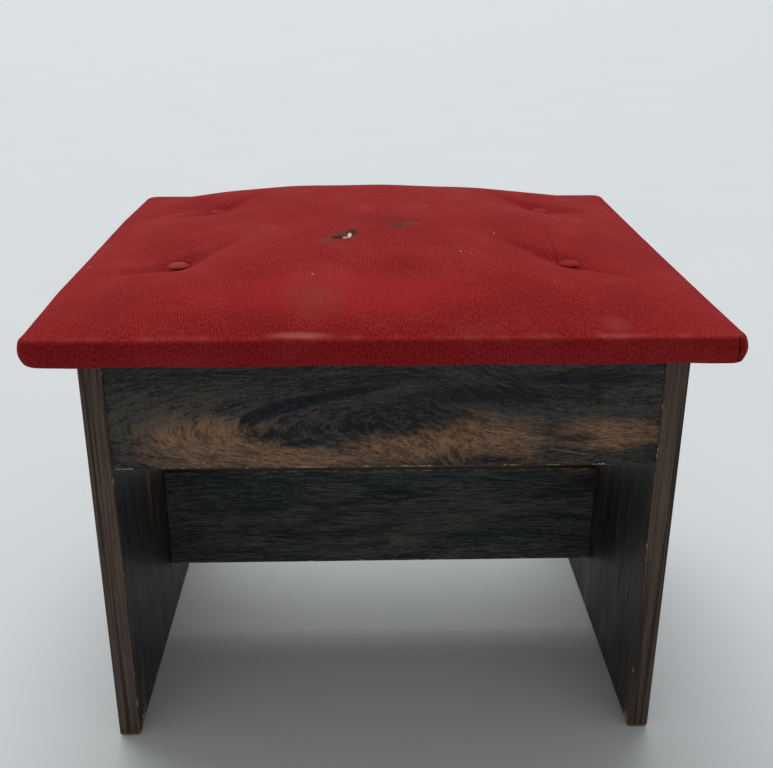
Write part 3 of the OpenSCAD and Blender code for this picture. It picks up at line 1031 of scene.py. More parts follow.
class PlanGrid:
    """Grid of plan shares from -1 to 1, whose lines pass through the buttons.

    Attributes:
        us: Shares of the lines across.
        vs: Shares of the lines along.
        u: Share across of each crossing, row by row from the front left.
        v: Share along of each crossing.
        rim: Numbers of the crossings round the edge, counter-clockwise from the front left.
        quads: Crossings at the corners of each quad, facing up.
    """

    def __init__(self, shares: Pair, across: tuple[int, int], along: tuple[int, int]) -> None:
        """Lays the lines out.

        Args:
            shares: Shares at which the buttons lie.
            across: Number of spaces from the middle to a button, and from there to the edge.
            along: The same from the middle to the front or the rear.
        """
        self.us, self.vs = self._lines(shares[0], *across), self._lines(shares[1], *along)
        self.u, self.v = (share.ravel() for share in np.meshgrid(self.us, self.vs))
        number = np.arange(self.u.size).reshape(len(self.vs), len(self.us))
        self.rim = np.concatenate(
            [number[0, :-1], number[:-1, -1], number[-1, :0:-1], number[:0:-1, 0]])
        self.quads = np.stack(
            [number[:-1, :-1], number[:-1, 1:], number[1:, 1:], number[1:, :-1]], -1).reshape(-1, 4)

    @staticmethod
    def _lines(button_share: float, inner: int, outer: int) -> np.ndarray:
        """Shares of the lines: even to the button, then closer together towards the edge.

        Args:
            button_share: Share at which the buttons lie.
            inner: Spaces from the middle to the button.
            outer: Spaces from there to the edge.

        Returns:
            The shares in order, from -1 to 1.
        """
        t = np.linspace(0, 1, outer + 1)[1:]
        closer = 0.62 * t + 0.38 * np.sin(t * math.pi / 2)
        half = np.concatenate([np.linspace(0, button_share, inner + 1)[1:],
                               button_share + (1 - button_share) * closer])
        return np.concatenate([-half[::-1], [0.0], half])


@dataclass(frozen=True)
class SeatForm:
    """The tufted seat as functions of plan shares u and v, from -1 to 1 across and along.

    Attributes:
        half_w: Half of its width.
        half_d: Half of its depth.
        bottom: Level of the cloth turned in underneath.
        button_x: Distance of the buttons from the middle line of their row.
        button_y: Distance of a row of buttons from the middle.
        front_shift: How far the front row is shifted sideways.
        edge_height: Height of the covered edge.
        crown: Height of the crown over that edge.
        power_x: How flat the crown stays across before it falls.
        power_y: How flat it stays along.
        roll: Radius between top and sides.
        corner_r: Radius of the corners in plan.
        side_draw: How far the middle of each side is drawn in.
        tuft_depth: Depth of a button's dip.
        tuft_reach: Distance over which the dip fades.
        pillow: Height of the swelling before and behind a button.
        pillow_at: Distance of that swelling from the button.
        pillow_width: Its half width.
        nip_depth: Part of the dip's depth that is a narrow pinch.
        nip_reach: Half width of the pinch.
        lump: Unevenness of the pad.
        pulls_from: Distance from a button at which its pull lines set in.
        lean: How far the left edge stands out at the front corner, in the middle and at the rear
            corner.
        pulls: Pull lines.
        swells: Places where the padding stands higher.
        relief: What the cloth simulation adds.
    """

    half_w: float
    half_d: float
    bottom: float
    button_x: float
    button_y: float
    front_shift: float
    edge_height: float = 20.0 * MM
    crown: float = 34.0 * MM
    power_x: float = 2.7
    power_y: float = 4.0
    roll: float = 4.0 * MM
    corner_r: float = 12.0 * MM
    side_draw: float = 1.2 * MM
    tuft_depth: float = 15.0 * MM
    tuft_reach: float = 38.0 * MM
    pillow: float = 1.6 * MM
    pillow_at: float = 24.0 * MM
    pillow_width: float = 12.0 * MM
    nip_depth: float = 2.2 * MM
    nip_reach: float = 8.0 * MM
    lump: float = 0.5 * MM
    pulls_from: float = 13.0 * MM
    lean: Point = (3.5 * MM, 7.0 * MM, 2.5 * MM)
    pulls: tuple[Pull, ...] = ()
    swells: tuple[Swell, ...] = ()
    relief: Relief | None = None

    @property
    def crease(self) -> float:
        """Level of the crease between top and sides."""
        return self.bottom + self.edge_height

    @property
    def shares(self) -> Pair:
        """Shares at which the buttons lie."""
        return self.button_x / (self.half_w - self.roll), self.button_y / (self.half_d - self.roll)

    @property
    def buttons(self) -> tuple[Pair, ...]:
        """Middle of each button in plan."""
        return tuple((side * self.button_x + (self.front_shift if row < 0 else 0.0),
                      row * self.button_y) for side in (-1, 1) for row in (-1, 1))

    def button_distance(self, x: np.ndarray, y: np.ndarray) -> np.ndarray:
        """Distance in plan from each point to the nearest button."""
        return np.minimum.reduce([np.hypot(x - at[0], y - at[1]) for at in self.buttons])

    def fade(self, u: np.ndarray, v: np.ndarray) -> np.ndarray:
        """1 inside, falling to 0 at the edges with the eighth power of either share."""
        return (1 - u**8) * (1 - v**8)

    def plan(self, u: np.ndarray, v: np.ndarray, inset: float) -> Arrays:
        """Plan points of the form.

        The sides are drawn in between the corners, the front rows shift sideways, and points in a
        corner square are pulled onto arcs, by their larger offset over their distance.

        Args:
            u: Share of the half width.
            v: Share of the half depth.
            inset: Distance inside the outline.

        Returns:
            The x and y of each point.
        """
        a = self.half_w - inset - self.side_draw * (1 - v * v) * np.abs(u)
        b = self.half_d - inset - self.side_draw * (1 - u * u) * np.abs(v)
        r = max(self.corner_r - inset, 1 * MM)
        shift = self.front_shift * np.clip((self.shares[1] - v) / (2 * self.shares[1]), 0, 1)
        x, y = u * a, v * b
        qx, qy = np.abs(x) - (a - r), np.abs(y) - (b - r)
        inside = (qx > 0) & (qy > 0)
        pull = np.where(inside, np.maximum(qx, qy) / np.maximum(np.hypot(qx, qy), 1e-9), 1.0)
        x = np.where(inside, np.sign(x) * (a - r + qx * pull), x)
        y = np.where(inside, np.sign(y) * (b - r + qy * pull), y)
        return x + shift * self.fade(u, v) - self._lean(u, v), y

    def _lean(self, u: np.ndarray, v: np.ndarray) -> np.ndarray:
        """How far the pad has slipped to the left, growing from the left buttons to the edge."""
        outer = np.clip((-u - self.shares[0]) / (1 - self.shares[0]), 0, 1)
        return outer * np.interp(v, (-1, -0.93, -0.5, 0.5, 1), np.take(self.lean, (0, 0, 1, 1, 2)))

    def rise(self, u: np.ndarray, v: np.ndarray) -> np.ndarray:
        """Height above the crease: the crown, less the button dips and pulls, plus the pillows.

        A dip is a cusp that fades with distance, and each pillow is a ring before and behind its
        button, where the cloth swells over the pad. Pull lines start outside the button's rim.
        The pad's lumps are sines of uneven lengths.

        Args:
            u: Shares of the half width, from -1 to 1.
            v: Shares of the half depth, from -1 to 1.

        Returns:
            The height at each place.
        """
        height = self.crown * (1 - np.abs(u) ** self.power_x) * (1 - np.abs(v) ** self.power_y)
        across = (np.abs(u) - self.shares[0]) * self.half_w
        along = (np.abs(v) - self.shares[1]) * self.half_d
        r = np.hypot(across, along) + 1e-9
        soft = (self.tuft_depth - self.nip_depth) * np.exp(-r / self.tuft_reach)
        soft = soft + self.nip_depth * bell(r, self.nip_reach)
        ring = self.pillow * bell(r - self.pillow_at, self.pillow_width) * (along / r) ** 2
        x, y = self.plan(u, v, self.roll)
        lumps = self.lump * (np.sin(x * 61 + 1.3) * np.sin(y * 47 + 0.4) + np.sin(x * 23 - y * 31))
        loose = 1 - bell(self.button_distance(x, y), self.pulls_from)
        drops = loose * sum((pull.drop(x, y) for pull in self.pulls), np.zeros_like(x))
        swells = sum((swell.rise(x, y) for swell in self.swells), np.zeros_like(x))
        if self.relief is not None:
            swells = swells + self.relief.at(u, v)
        return height + (ring - soft + lumps - drops + swells) * self.fade(u, v)


@dataclass(frozen=True)
class Swelling:
    """Cloth simulation: a coarse closed copy of the seat swells between its edges and buttons.

    Attributes:
        pressure: Blender's pressure inside the copy.
        frames: Frames that it runs for.
        start_low: How much lower the copy starts, because it swells.
        held: Radius round each button inside which the cloth is held.
        cap: The most that a point may end above or below its place.
    """

    pressure: float = 4.0
    frames: int = 20
    start_low: float = 1.5 * MM
    held: float = 11.0 * MM
    cap: float = 5.0 * MM

    def relief(self, form: SeatForm) -> Relief:
        """Runs the simulation and keeps how far it leaves the cloth above or below the form.

        Args:
            form: The form without its relief.

        Returns:
            The relief, on a finer grid.
        """
        grid = PlanGrid(form.shares, across=(14, 10), along=(8, 11))
        x, y = form.plan(grid.u, grid.v, form.roll)
        wanted = form.crease + form.rise(grid.u, grid.v)
        loose = form.button_distance(x, y) > self.held
        start = wanted - self.start_low * form.fade(grid.u, grid.v) * loose
        count = len(start)
        faces = np.concatenate([grid.quads, grid.quads[:, ::-1] + count,
                                strip_quads(grid.rim, grid.rim + count)])
        points = np.concatenate([lifted(x, y, start), lifted(x, y, form.bottom)])
        piece = new_piece("swelling", points, faces.tolist())
        loose[grid.rim] = False
        held = np.concatenate([np.flatnonzero(~loose), np.arange(count, 2 * count)])
        piece.vertex_groups.new(name="held").add(held.tolist(), 1.0, "REPLACE")
        end = self._run(piece)[:count, 2]
        lift = np.where(loose, np.clip(end - wanted, -self.cap, self.cap), 0.0)
        LOG.info("cloth swelled by %.1f to %.1f mm", lift.min() / MM, lift.max() / MM)
        return Relief(grid.us, grid.vs, lift.reshape(len(grid.vs), -1)).finer(4, 6)

    def _run(self, piece: bpy.types.Object) -> np.ndarray:
        """Steps the cloth through the frames, then removes the copy.

        Args:
            piece: The closed copy, whose held vertices are in a group.

        Returns:
            The vertices' last places, one row each.
        """
        cloth = piece.modifiers.new("cloth", "CLOTH")
        cloth.settings.vertex_group_mass = "held"
        cloth.settings.use_pressure = True
        cloth.settings.uniform_pressure_force = self.pressure
        cloth.settings.effector_weights.gravity = 0.0
        scene = bpy.context.scene
        for frame in range(1, self.frames + 1):
            scene.frame_set(frame)
        mesh = piece.evaluated_get(bpy.context.evaluated_depsgraph_get()).data
        places = np.empty(len(mesh.vertices) * 3)
        mesh.vertices.foreach_get("co", places)
        scene.frame_set(1)
        bpy.data.meshes.remove(piece.data)
        return places.reshape(-1, 3)


@dataclass
class SeatCover:
    """Cloth cover: a top, sides that go over a roll, and a hem turned in under the board.

    Attributes:
        form: The seat's form.
        cloth: Thickness of the cloth.
        turn_in: How far the hem reaches in under the board.
        hem_draw: How far the lower edge is drawn in.
        hem_round: Radius of the lower edge.
        bulge: How far the sides stand out at half their height.
        hole: Radius of the opening under each button.
        fold_at: Place of the folded cloth, in from the corner on both axes.
        fold_width: Its half width.
        seam_at: Place of the fold's edge, in from the corner.
        seam_width: Its half width.
        tip_width: How far round a corner its lower edge is drawn in.
        uneven: Unevenness of the sides.
        ragged: Unevenness of the hem's cut edge.
        wave: Unevenness of the lower edge.
        tucks: The folded corners.
    """

    form: SeatForm
    cloth: float = 1.2 * MM
    turn_in: float = 22.0 * MM
    hem_draw: float = 0.2 * MM
    hem_round: float = 1.5 * MM
    bulge: float = 1.0 * MM
    hole: float = 2.3 * MM
    fold_at: Pair = (1 * MM, 10.5 * MM)
    fold_width: float = 7 * MM
    seam_at: Pair = (6 * MM, 1.6 * MM)
    seam_width: float = 1.6 * MM
    tip_width: float = 14 * MM
    uneven: float = 0.3 * MM
    ragged: float = 0.5 * MM
    wave: float = 0.35 * MM
    tucks: tuple[Tuck, ...] = (
        Tuck((1, -1), 2.0 * MM, 4.2 * MM, 0.0),
        Tuck((-1, -1), 1.6 * MM, 0.6 * MM, 2.6 * MM),
        Tuck((1, 1), 1.8 * MM, 0.9 * MM, 0.0),
        Tuck((-1, 1), 1.4 * MM, 0.8 * MM, 1.4 * MM),
    )

    def profile(self) -> Arrays:
        """Inset and level of each ring, from the roll down the side and in along the underside.

        The roll and the lower edge are quarter circles, and the side between them bulges as a
        half sine.

        Returns:
            The insets and the levels.
        """
        form = self.form
        a = np.radians([18, 36, 54, 72, 90])
        roll = np.stack([form.roll * (1 - np.sin(a)), form.crease - form.roll * (1 - np.cos(a))])
        t = np.linspace(0, 1, 8)[1:]
        low = form.bottom + self.hem_round
        side = np.stack([self.hem_draw * t - self.bulge * np.sin(math.pi * t),
                         form.crease - form.roll + (low - form.crease + form.roll) * t])
        a = np.radians([22.5, 45, 67.5, 90])
        hem = np.stack([self.hem_draw + self.hem_round * (1 - np.cos(a)),
                        low - self.hem_round * np.sin(a)])
        inward = np.linspace(hem[0, -1], self.turn_in, 6)[1:]
        under = np.stack([inward, np.full_like(inward, form.bottom)])
        inset, level = np.concatenate([roll, side, hem, under], axis=1)
        return inset, level

    def _steps(self) -> np.ndarray:
        """Length of cloth from each ring to the one before it."""
        inset, level = self.profile()
        return np.hypot(np.diff(inset, prepend=self.form.roll),
                        np.diff(level, prepend=self.form.crease))

    def cut_size(self) -> Pair:
        """Width and length of the flat cloth: the top, the sides and the turned-in hem."""
        spare = self._steps().sum()
        return 2 * (self.form.half_w + spare), 2 * (self.form.half_d + spare)

    def build(self) -> bpy.types.Object:
        """Makes the cover's outer surface, opens it for the twine and gives it its thickness.

        Returns:
            The cover.
        """
        form = self.form
        grid = PlanGrid(form.shares, across=(56, 40), along=(32, 44))
        x, y = form.plan(grid.u, grid.v, form.roll)
        top = lifted(x, y, form.crease + form.rise(grid.u, grid.v))
        rings = [top]
        flat = [np.stack([grid.u * form.half_w, grid.v * form.half_d], -1)]
        quads = [self._opened(top, grid.quads)]
        u, v, loop = grid.u[grid.rim], grid.v[grid.rim], grid.rim
        first = len(top)
        for spare, inset, level in zip(np.cumsum(self._steps()), *self.profile()):
            rings.append(self._ring(u, v, inset, level))
            flat.append(self._unfolded(u, v, spare))
            lower = first + np.arange(len(loop))
            quads.append(strip_quads(loop, lower))
            loop = lower
            first += len(loop)
        piece = new_piece("cloth_cover", np.concatenate(rings), np.concatenate(quads).tolist(),
                          np.concatenate(flat))
        wall = piece.modifiers.new("cloth", "SOLIDIFY")
        wall.thickness = self.cloth
        wall.offset = -1.0
        return piece

    def _opened(self, top: np.ndarray, quads: np.ndarray) -> np.ndarray:
        """The quads without those next to a button's middle, where its twine passes."""
        middle = top[quads].mean(1)
        return quads[self.form.button_distance(middle[:, 0], middle[:, 1]) > self.hole]

    def _ring(self, u: np.ndarray, v: np.ndarray, inset: float, level: float) -> np.ndarray:
        """One ring of the sides, with the corner tucks and a slight unevenness.

        Each point moves outwards by a sum. At a tuck the cloth stands out over the fold and
        sinks at the seam, most at half height, and the lower edge is drawn in at the tip.
        Sines of uneven lengths make the side uneven, the lower edge wavy and the hem ragged.

        Args:
            u: Shares of the half width, from -1 to 1.
            v: Shares of the half depth, from -1 to 1.
            inset: How far the ring lies in from the seat's edge.
            level: Its height.

        Returns:
            The ring's points, one row each.
        """
        form = self.form
        x, y = form.plan(u, v, inset)
        inner = form.plan(u, v, inset + 2 * MM)
        out = np.stack([x - inner[0], y - inner[1]])
        out /= np.maximum(np.hypot(*out), 1e-9)
        down = np.clip((form.crease - level) / form.edge_height, 0, 1)
        edge = math.sin(math.pi * down) ** 0.8 if 0 < down < 1 else 0.0
        under = np.clip((inset - self.hem_draw - self.hem_round) / (6 * MM), 0, 1)
        push = self.uneven * edge * np.sin(x * 83 + y * 71) * np.sin(x * 37 - y * 29 + 1)
        for tuck in self.tucks:
            sx, sy = tuck.corner
            fold, seam, tip = (
                np.hypot(x - sx * (form.half_w - at[0]), y - sy * (form.half_d - at[1]))
                for at in (self.fold_at, self.seam_at, (0.0, 0.0)))
            push = push + tuck.swell * edge * bell(fold, self.fold_width)
            push = push - tuck.groove * edge * bell(seam, self.seam_width)
            push = push - tuck.hem * down**3 * (1 - under) * bell(tip, self.tip_width)
        push = push + self.ragged * under * (np.sin(x * 210 + y * 190) + np.sin(x * 90 - y * 130))
        wave = np.sin(x * 52 + 0.7) * np.cos(y * 44) + 0.4 * np.sin(x * 171 + y * 123)
        z = level + self.wave * wave * down**2 * (1 - under)
        return lifted(x + out[0] * push, y + out[1] * push, z)

    def _unfolded(self, u: np.ndarray, v: np.ndarray, spare: float) -> np.ndarray:
        """Place on the cloth: the top's edge, plus the length gone down its side.

        Args:
            u: Shares of the half width, from -1 to 1.
            v: Shares of the half depth, from -1 to 1.
            spare: Length of cloth from the top's edge to here.

        Returns:
            Both coordinates of each point on the flat cloth.
        """
        form = self.form
        s = u * form.half_w + np.where(np.abs(u) > 1 - 1e-9, np.sign(u) * spare, 0.0)
        t = v * form.half_d + np.where(np.abs(v) > 1 - 1e-9, np.sign(v) * spare, 0.0)
        return np.stack([s, t], -1)


@dataclass
class FoamPad:
    """Foam pad under the cover: the same form inside the cloth, closed, with tunnels for the twine.

    Attributes:
        form: The seat's form.
        base: Level of its underside.
        inset: Distance inside the cover's outer surface.
    """

    form: SeatForm
    base: float
    inset: float = 2.0 * MM

    def build(self) -> bpy.types.Object:
        """Makes the pad from a crowned grid, sides and a level grid, and joins them at each tunnel.

        Returns:
            The pad.
        """
        form = self.form
        grid = PlanGrid(form.shares, across=(28, 18), along=(16, 22))
        level = form.crease - self.inset
        top = lifted(*form.plan(grid.u, grid.v, self.inset + form.roll),
                     level + form.rise(grid.u, grid.v))
        shoulder = lifted(*form.plan(grid.u[grid.rim], grid.v[grid.rim], self.inset),
                          level - form.roll / 2)
        base = lifted(*form.plan(grid.u, grid.v, self.inset + 1 * MM), self.base)
        count = len(top)
        middle = 2 * count + np.arange(len(shoulder))
        shut, walls = self._tunnels(top, grid)
        faces = np.concatenate([
            shut, shut[:, ::-1] + count, strip_quads(grid.rim, middle),
            strip_quads(middle, grid.rim + count), walls])
        return new_piece("foam_pad", np.concatenate([top, base, shoulder]), faces.tolist())

    def _tunnels(self, top: np.ndarray, grid: PlanGrid) -> Arrays:
        """Finds the quads that stay, and the walls round each tunnel from the top to the base.

        Each button lies on a crossing of the grid, so the four quads round it are left out and
        the eight vertices round those carry the wall.

        Args:
            top: Points of the pad's top.
            grid: Grid that the top and the base are made on.

        Returns:
            The quads that stay and the quads of the walls.
        """
        shut = np.ones(len(grid.quads), bool)
        walls = []
        row = len(grid.us)
        around = np.array([-row - 1, -row, -row + 1, 1, row + 1, row, row - 1, -1])
        for x, y in self.form.buttons:
            crossing = int(np.hypot(top[:, 0] - x, top[:, 1] - y).argmin())
            shut &= ~(grid.quads == crossing).any(1)
            walls.append(strip_quads(crossing + around + len(top), crossing + around))
        return grid.quads[shut], np.concatenate(walls)


@dataclass
class CoveredButton:
    """Cloth-covered button: a domed cap over a tapered back, with tucks round its rim.

    Attributes:
        node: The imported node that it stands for.
        fade: How far its cloth has faded.
        turn: Angle of its ribs.
        spread_share: Its diameter, as a share of the node's, past the cloth that hugs it.
        height_share: Its height, as a share of the node's.
        rim_share: Height of the rim as a share of the height.
        back_share: Radius of the back as a share of the diameter.
        segments: Number of sides round it.
        tucks: Number of tucks round its rim.
    """

    node: str
    fade: float
    turn: float
    spread_share: float = 0.87
    height_share: float = 0.76
    rim_share: float = 0.56
    back_share: float = 0.11
    segments: int = 72
    tucks: int = 18

    def build(self, finish: VelourFinish) -> bpy.types.Object:
        """Makes the button by turning its profile, and lays its cloth flat over the cap.

        The back widens as a power of its height, the cap is a flattened quarter circle, and the
        tucks are a cosine round the rim that fades above and below it.

        Args:
            finish: The cloth's finish.

        Returns:
            The button.
        """
        low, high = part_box(self.node)
        centre, height = (low + high) / 2, (high.z - low.z) * self.height_share
        radius = (high.x - low.x) / 2 * self.spread_share
        rim = height * self.rim_share
        a = np.radians(np.linspace(0, 90, 15))[:-1]
        t = np.linspace(0, 1, 7)[:-1]
        back = 2 * radius * self.back_share
        radii = np.concatenate([back + (radius - back) * t**0.8, radius * np.cos(a) ** 0.82])
        levels = np.concatenate([rim * t**1.15, rim + (height - rim) * np.sin(a)])
        angle = np.linspace(0, 2 * math.pi, self.segments, endpoint=False)
        rib = np.cos(angle * self.tucks)
        hold = bell(levels - 0.8 * rim, 0.3 * rim)[:, None]
        r = radii[:, None] * (1 + 0.022 * hold * rib)
        ring = lifted(r * np.cos(angle), r * np.sin(angle), levels[:, None])
        ends = np.array([[0, 0, 0], [0, 0, height]], float)
        points = np.concatenate([ring.reshape(-1, 3), ends]) + [centre.x, centre.y, low.z]
        spans = np.arange(len(radii))[:, None] * self.segments + np.arange(self.segments)
        sides = np.concatenate([strip_quads(spans[i + 1], spans[i]) for i in range(len(radii) - 1)])
        bottom = [[int(b), int(a), len(points) - 2] for a, b in zip(spans[0], np.roll(spans[0], -1))]
        cap = [[int(a), int(b), len(points) - 1] for a, b in zip(spans[-1], np.roll(spans[-1], -1))]
        cos, sin = math.cos(self.turn), math.sin(self.turn)
        x, y = points[:, 0] - centre.x, points[:, 1] - centre.y
        flat = np.stack([x * cos - y * sin + centre.x * 1.7, x * sin + y * cos + centre.y], -1)
        piece = new_piece(f"covered_{self.node}", points, [*sides.tolist(), *bottom, *cap], flat)
        piece.data.materials.append(finish.material(f"velour_{self.node}", fade=self.fade))
        return piece


@dataclass
class Seat:
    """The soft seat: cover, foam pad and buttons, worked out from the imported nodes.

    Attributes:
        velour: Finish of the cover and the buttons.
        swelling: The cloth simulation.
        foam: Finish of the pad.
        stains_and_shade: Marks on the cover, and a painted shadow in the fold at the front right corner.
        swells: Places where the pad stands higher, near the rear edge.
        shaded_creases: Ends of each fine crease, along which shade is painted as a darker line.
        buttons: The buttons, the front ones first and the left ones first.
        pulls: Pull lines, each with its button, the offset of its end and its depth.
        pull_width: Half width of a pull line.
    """

    velour: VelourFinish = field(default_factory=VelourFinish)
    swelling: Swelling = field(default_factory=Swelling)
    foam: FoamFinish = field(default_factory=FoamFinish)
    stains_and_shade: tuple[ClothPatch, ...] = (
        ClothPatch((-0.030, -0.180), (0.110, 0.030), (205, 52, 54), 0.24),
        ClothPatch((-0.048, -0.188), (0.022, 0.022), (122, 66, 58), 0.34),
        ClothPatch((0.168, -0.214), (0.012, 0.010), (186, 100, 98), 0.16),
        ClothPatch((-0.062, -0.2255), (0.022, 0.0030), (206, 130, 118), 0.32),
        ClothPatch((-0.025, -0.076), (0.013, 0.016), (84, 56, 46), 0.80),
        ClothPatch((-0.040, -0.088), (0.011, 0.006), (104, 66, 54), 0.75),
        ClothPatch((-0.020, -0.070), (0.0055, 0.0110), (44, 34, 28), 0.85),
        ClothPatch((-0.030, -0.082), (0.0075, 0.0050), (34, 22, 18), 0.95),
        ClothPatch((-0.0215, -0.077), (0.0018, 0.0070), (236, 206, 168), 1.0),
        ClothPatch((-0.0250, -0.083), (0.0024, 0.0026), (214, 176, 138), 0.9),
        ClothPatch((0.0185, -0.048), (0.0065, 0.0080), (70, 50, 42), 0.80),
        ClothPatch((0.0310, -0.040), (0.0080, 0.0080), (92, 66, 54), 0.70),
        ClothPatch((0.002, -0.028), (0.030, 0.014), (92, 30, 32), 0.35),
        # Painted shadow: a dark line in the fold of the front right tuck.
        ClothPatch((0.2488, -0.2400), (0.0016, 0.0110), (44, 6, 10), 0.80),
    )
    swells: tuple[Swell, ...] = (
        Swell((-0.085, 0.165), 4.2 * MM, (0.085, 0.060)),
        Swell((-0.158, 0.172), 3.0 * MM, (0.042, 0.048)),
        Swell((0.060, 0.170), 2.2 * MM, (0.080, 0.050)),
        Swell((0.160, 0.175), 2.2 * MM, (0.060, 0.045)),
    )
    # Painted shade along the fine crease that joins the right buttons.
    shaded_creases: tuple[tuple[Pair, Pair], ...] = (
        ((0.161, 0.084), (0.156, 0.040)),
        ((0.156, 0.040), (0.153, -0.004)),
        ((0.153, -0.004), (0.1535, -0.084)),
    )
    buttons: tuple[CoveredButton, ...] = (
        CoveredButton("button_front_left", 0.34, 0.5),
        CoveredButton("button_front_right", 0.02, -0.4),
        CoveredButton("button_rear_left", 0.10, 0.2),
        CoveredButton("button_rear_right", 0.14, -0.9),
    )
    pulls: tuple[tuple[str, Pair, float], ...] = (
        ("button_front_left", (-0.064, -0.012), 6.0 * MM),
        ("button_front_left", (0.052, 0.036), 5.2 * MM),
        ("button_front_right", (0.048, -0.036), 5.6 * MM),
        ("button_front_right", (-0.066, 0.036), 5.2 * MM),
        ("button_rear_left", (-0.052, -0.006), 4.2 * MM),
        ("button_rear_left", (0.048, 0.036), 4.4 * MM),
        ("button_rear_right", (0.054, 0.010), 4.2 * MM),
        ("button_rear_right", (-0.054, 0.046), 4.6 * MM),
    )
    pull_width: float = 7.5 * MM

    def form(self) -> SeatForm:
        """Reads the seat's size from the cover's box and the buttons' places from their boxes.

        Returns:
            The form of the seat, without the cloth's relief.
        """
        low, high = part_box("seat_cover")
        middle = {b.node: sum(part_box(b.node), Vector()) / 2 for b in self.buttons}
        front_left, front_right, rear_left, rear_right = middle.values()
        pulls = []
        for node, (across, along), depth in self.pulls:
            at = middle[node]
            end = (at.x + across, at.y + along)
            pulls.append(Pull((at.x, at.y), end, depth, self.pull_width))
        return SeatForm(
            half_w=(high.x - low.x) / 2, half_d=(high.y - low.y) / 2, bottom=low.z,
            button_x=(rear_right.x - rear_left.x) / 2, button_y=(rear_left.y - front_left.y) / 2,
            front_shift=(front_left.x + front_right.x) / 2, pulls=tuple(pulls), swells=self.swells)

    def build(self) -> None:
        """Makes the soft pieces, dresses them and puts each on the body in place of its node."""
        form = self.form()
        form = replace(form, relief=self.swelling.relief(form))
        cover_maker = SeatCover(form)
        cover = cover_maker.build()
        cover.data.materials.append(
            self.velour.material("ribbed_velour", self.stains_and_shade, self.shaded_creases, crease_rub_and_shade=-form.half_d))
        pad = FoamPad(form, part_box("seat_foam")[0].z).build()
        pad.data.materials.append(self.foam.material("yellowed_foam"))
        self._declare(cover, "seat_cover", "ribbed_velour")
        self._declare(pad, "seat_foam", "foam")
        cover_maker.cut_size()
        for button in self.buttons:
            self._declare(button.build(self.velour), button.node, "ribbed_velour")

    @staticmethod
    def _declare(piece: bpy.types.Object, node: str, slot: str) -> None:
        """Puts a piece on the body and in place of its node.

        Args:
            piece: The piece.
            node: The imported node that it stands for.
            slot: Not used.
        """
        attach(piece, BODY)
        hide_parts(node)
        LOG.info("%s done", piece.name)


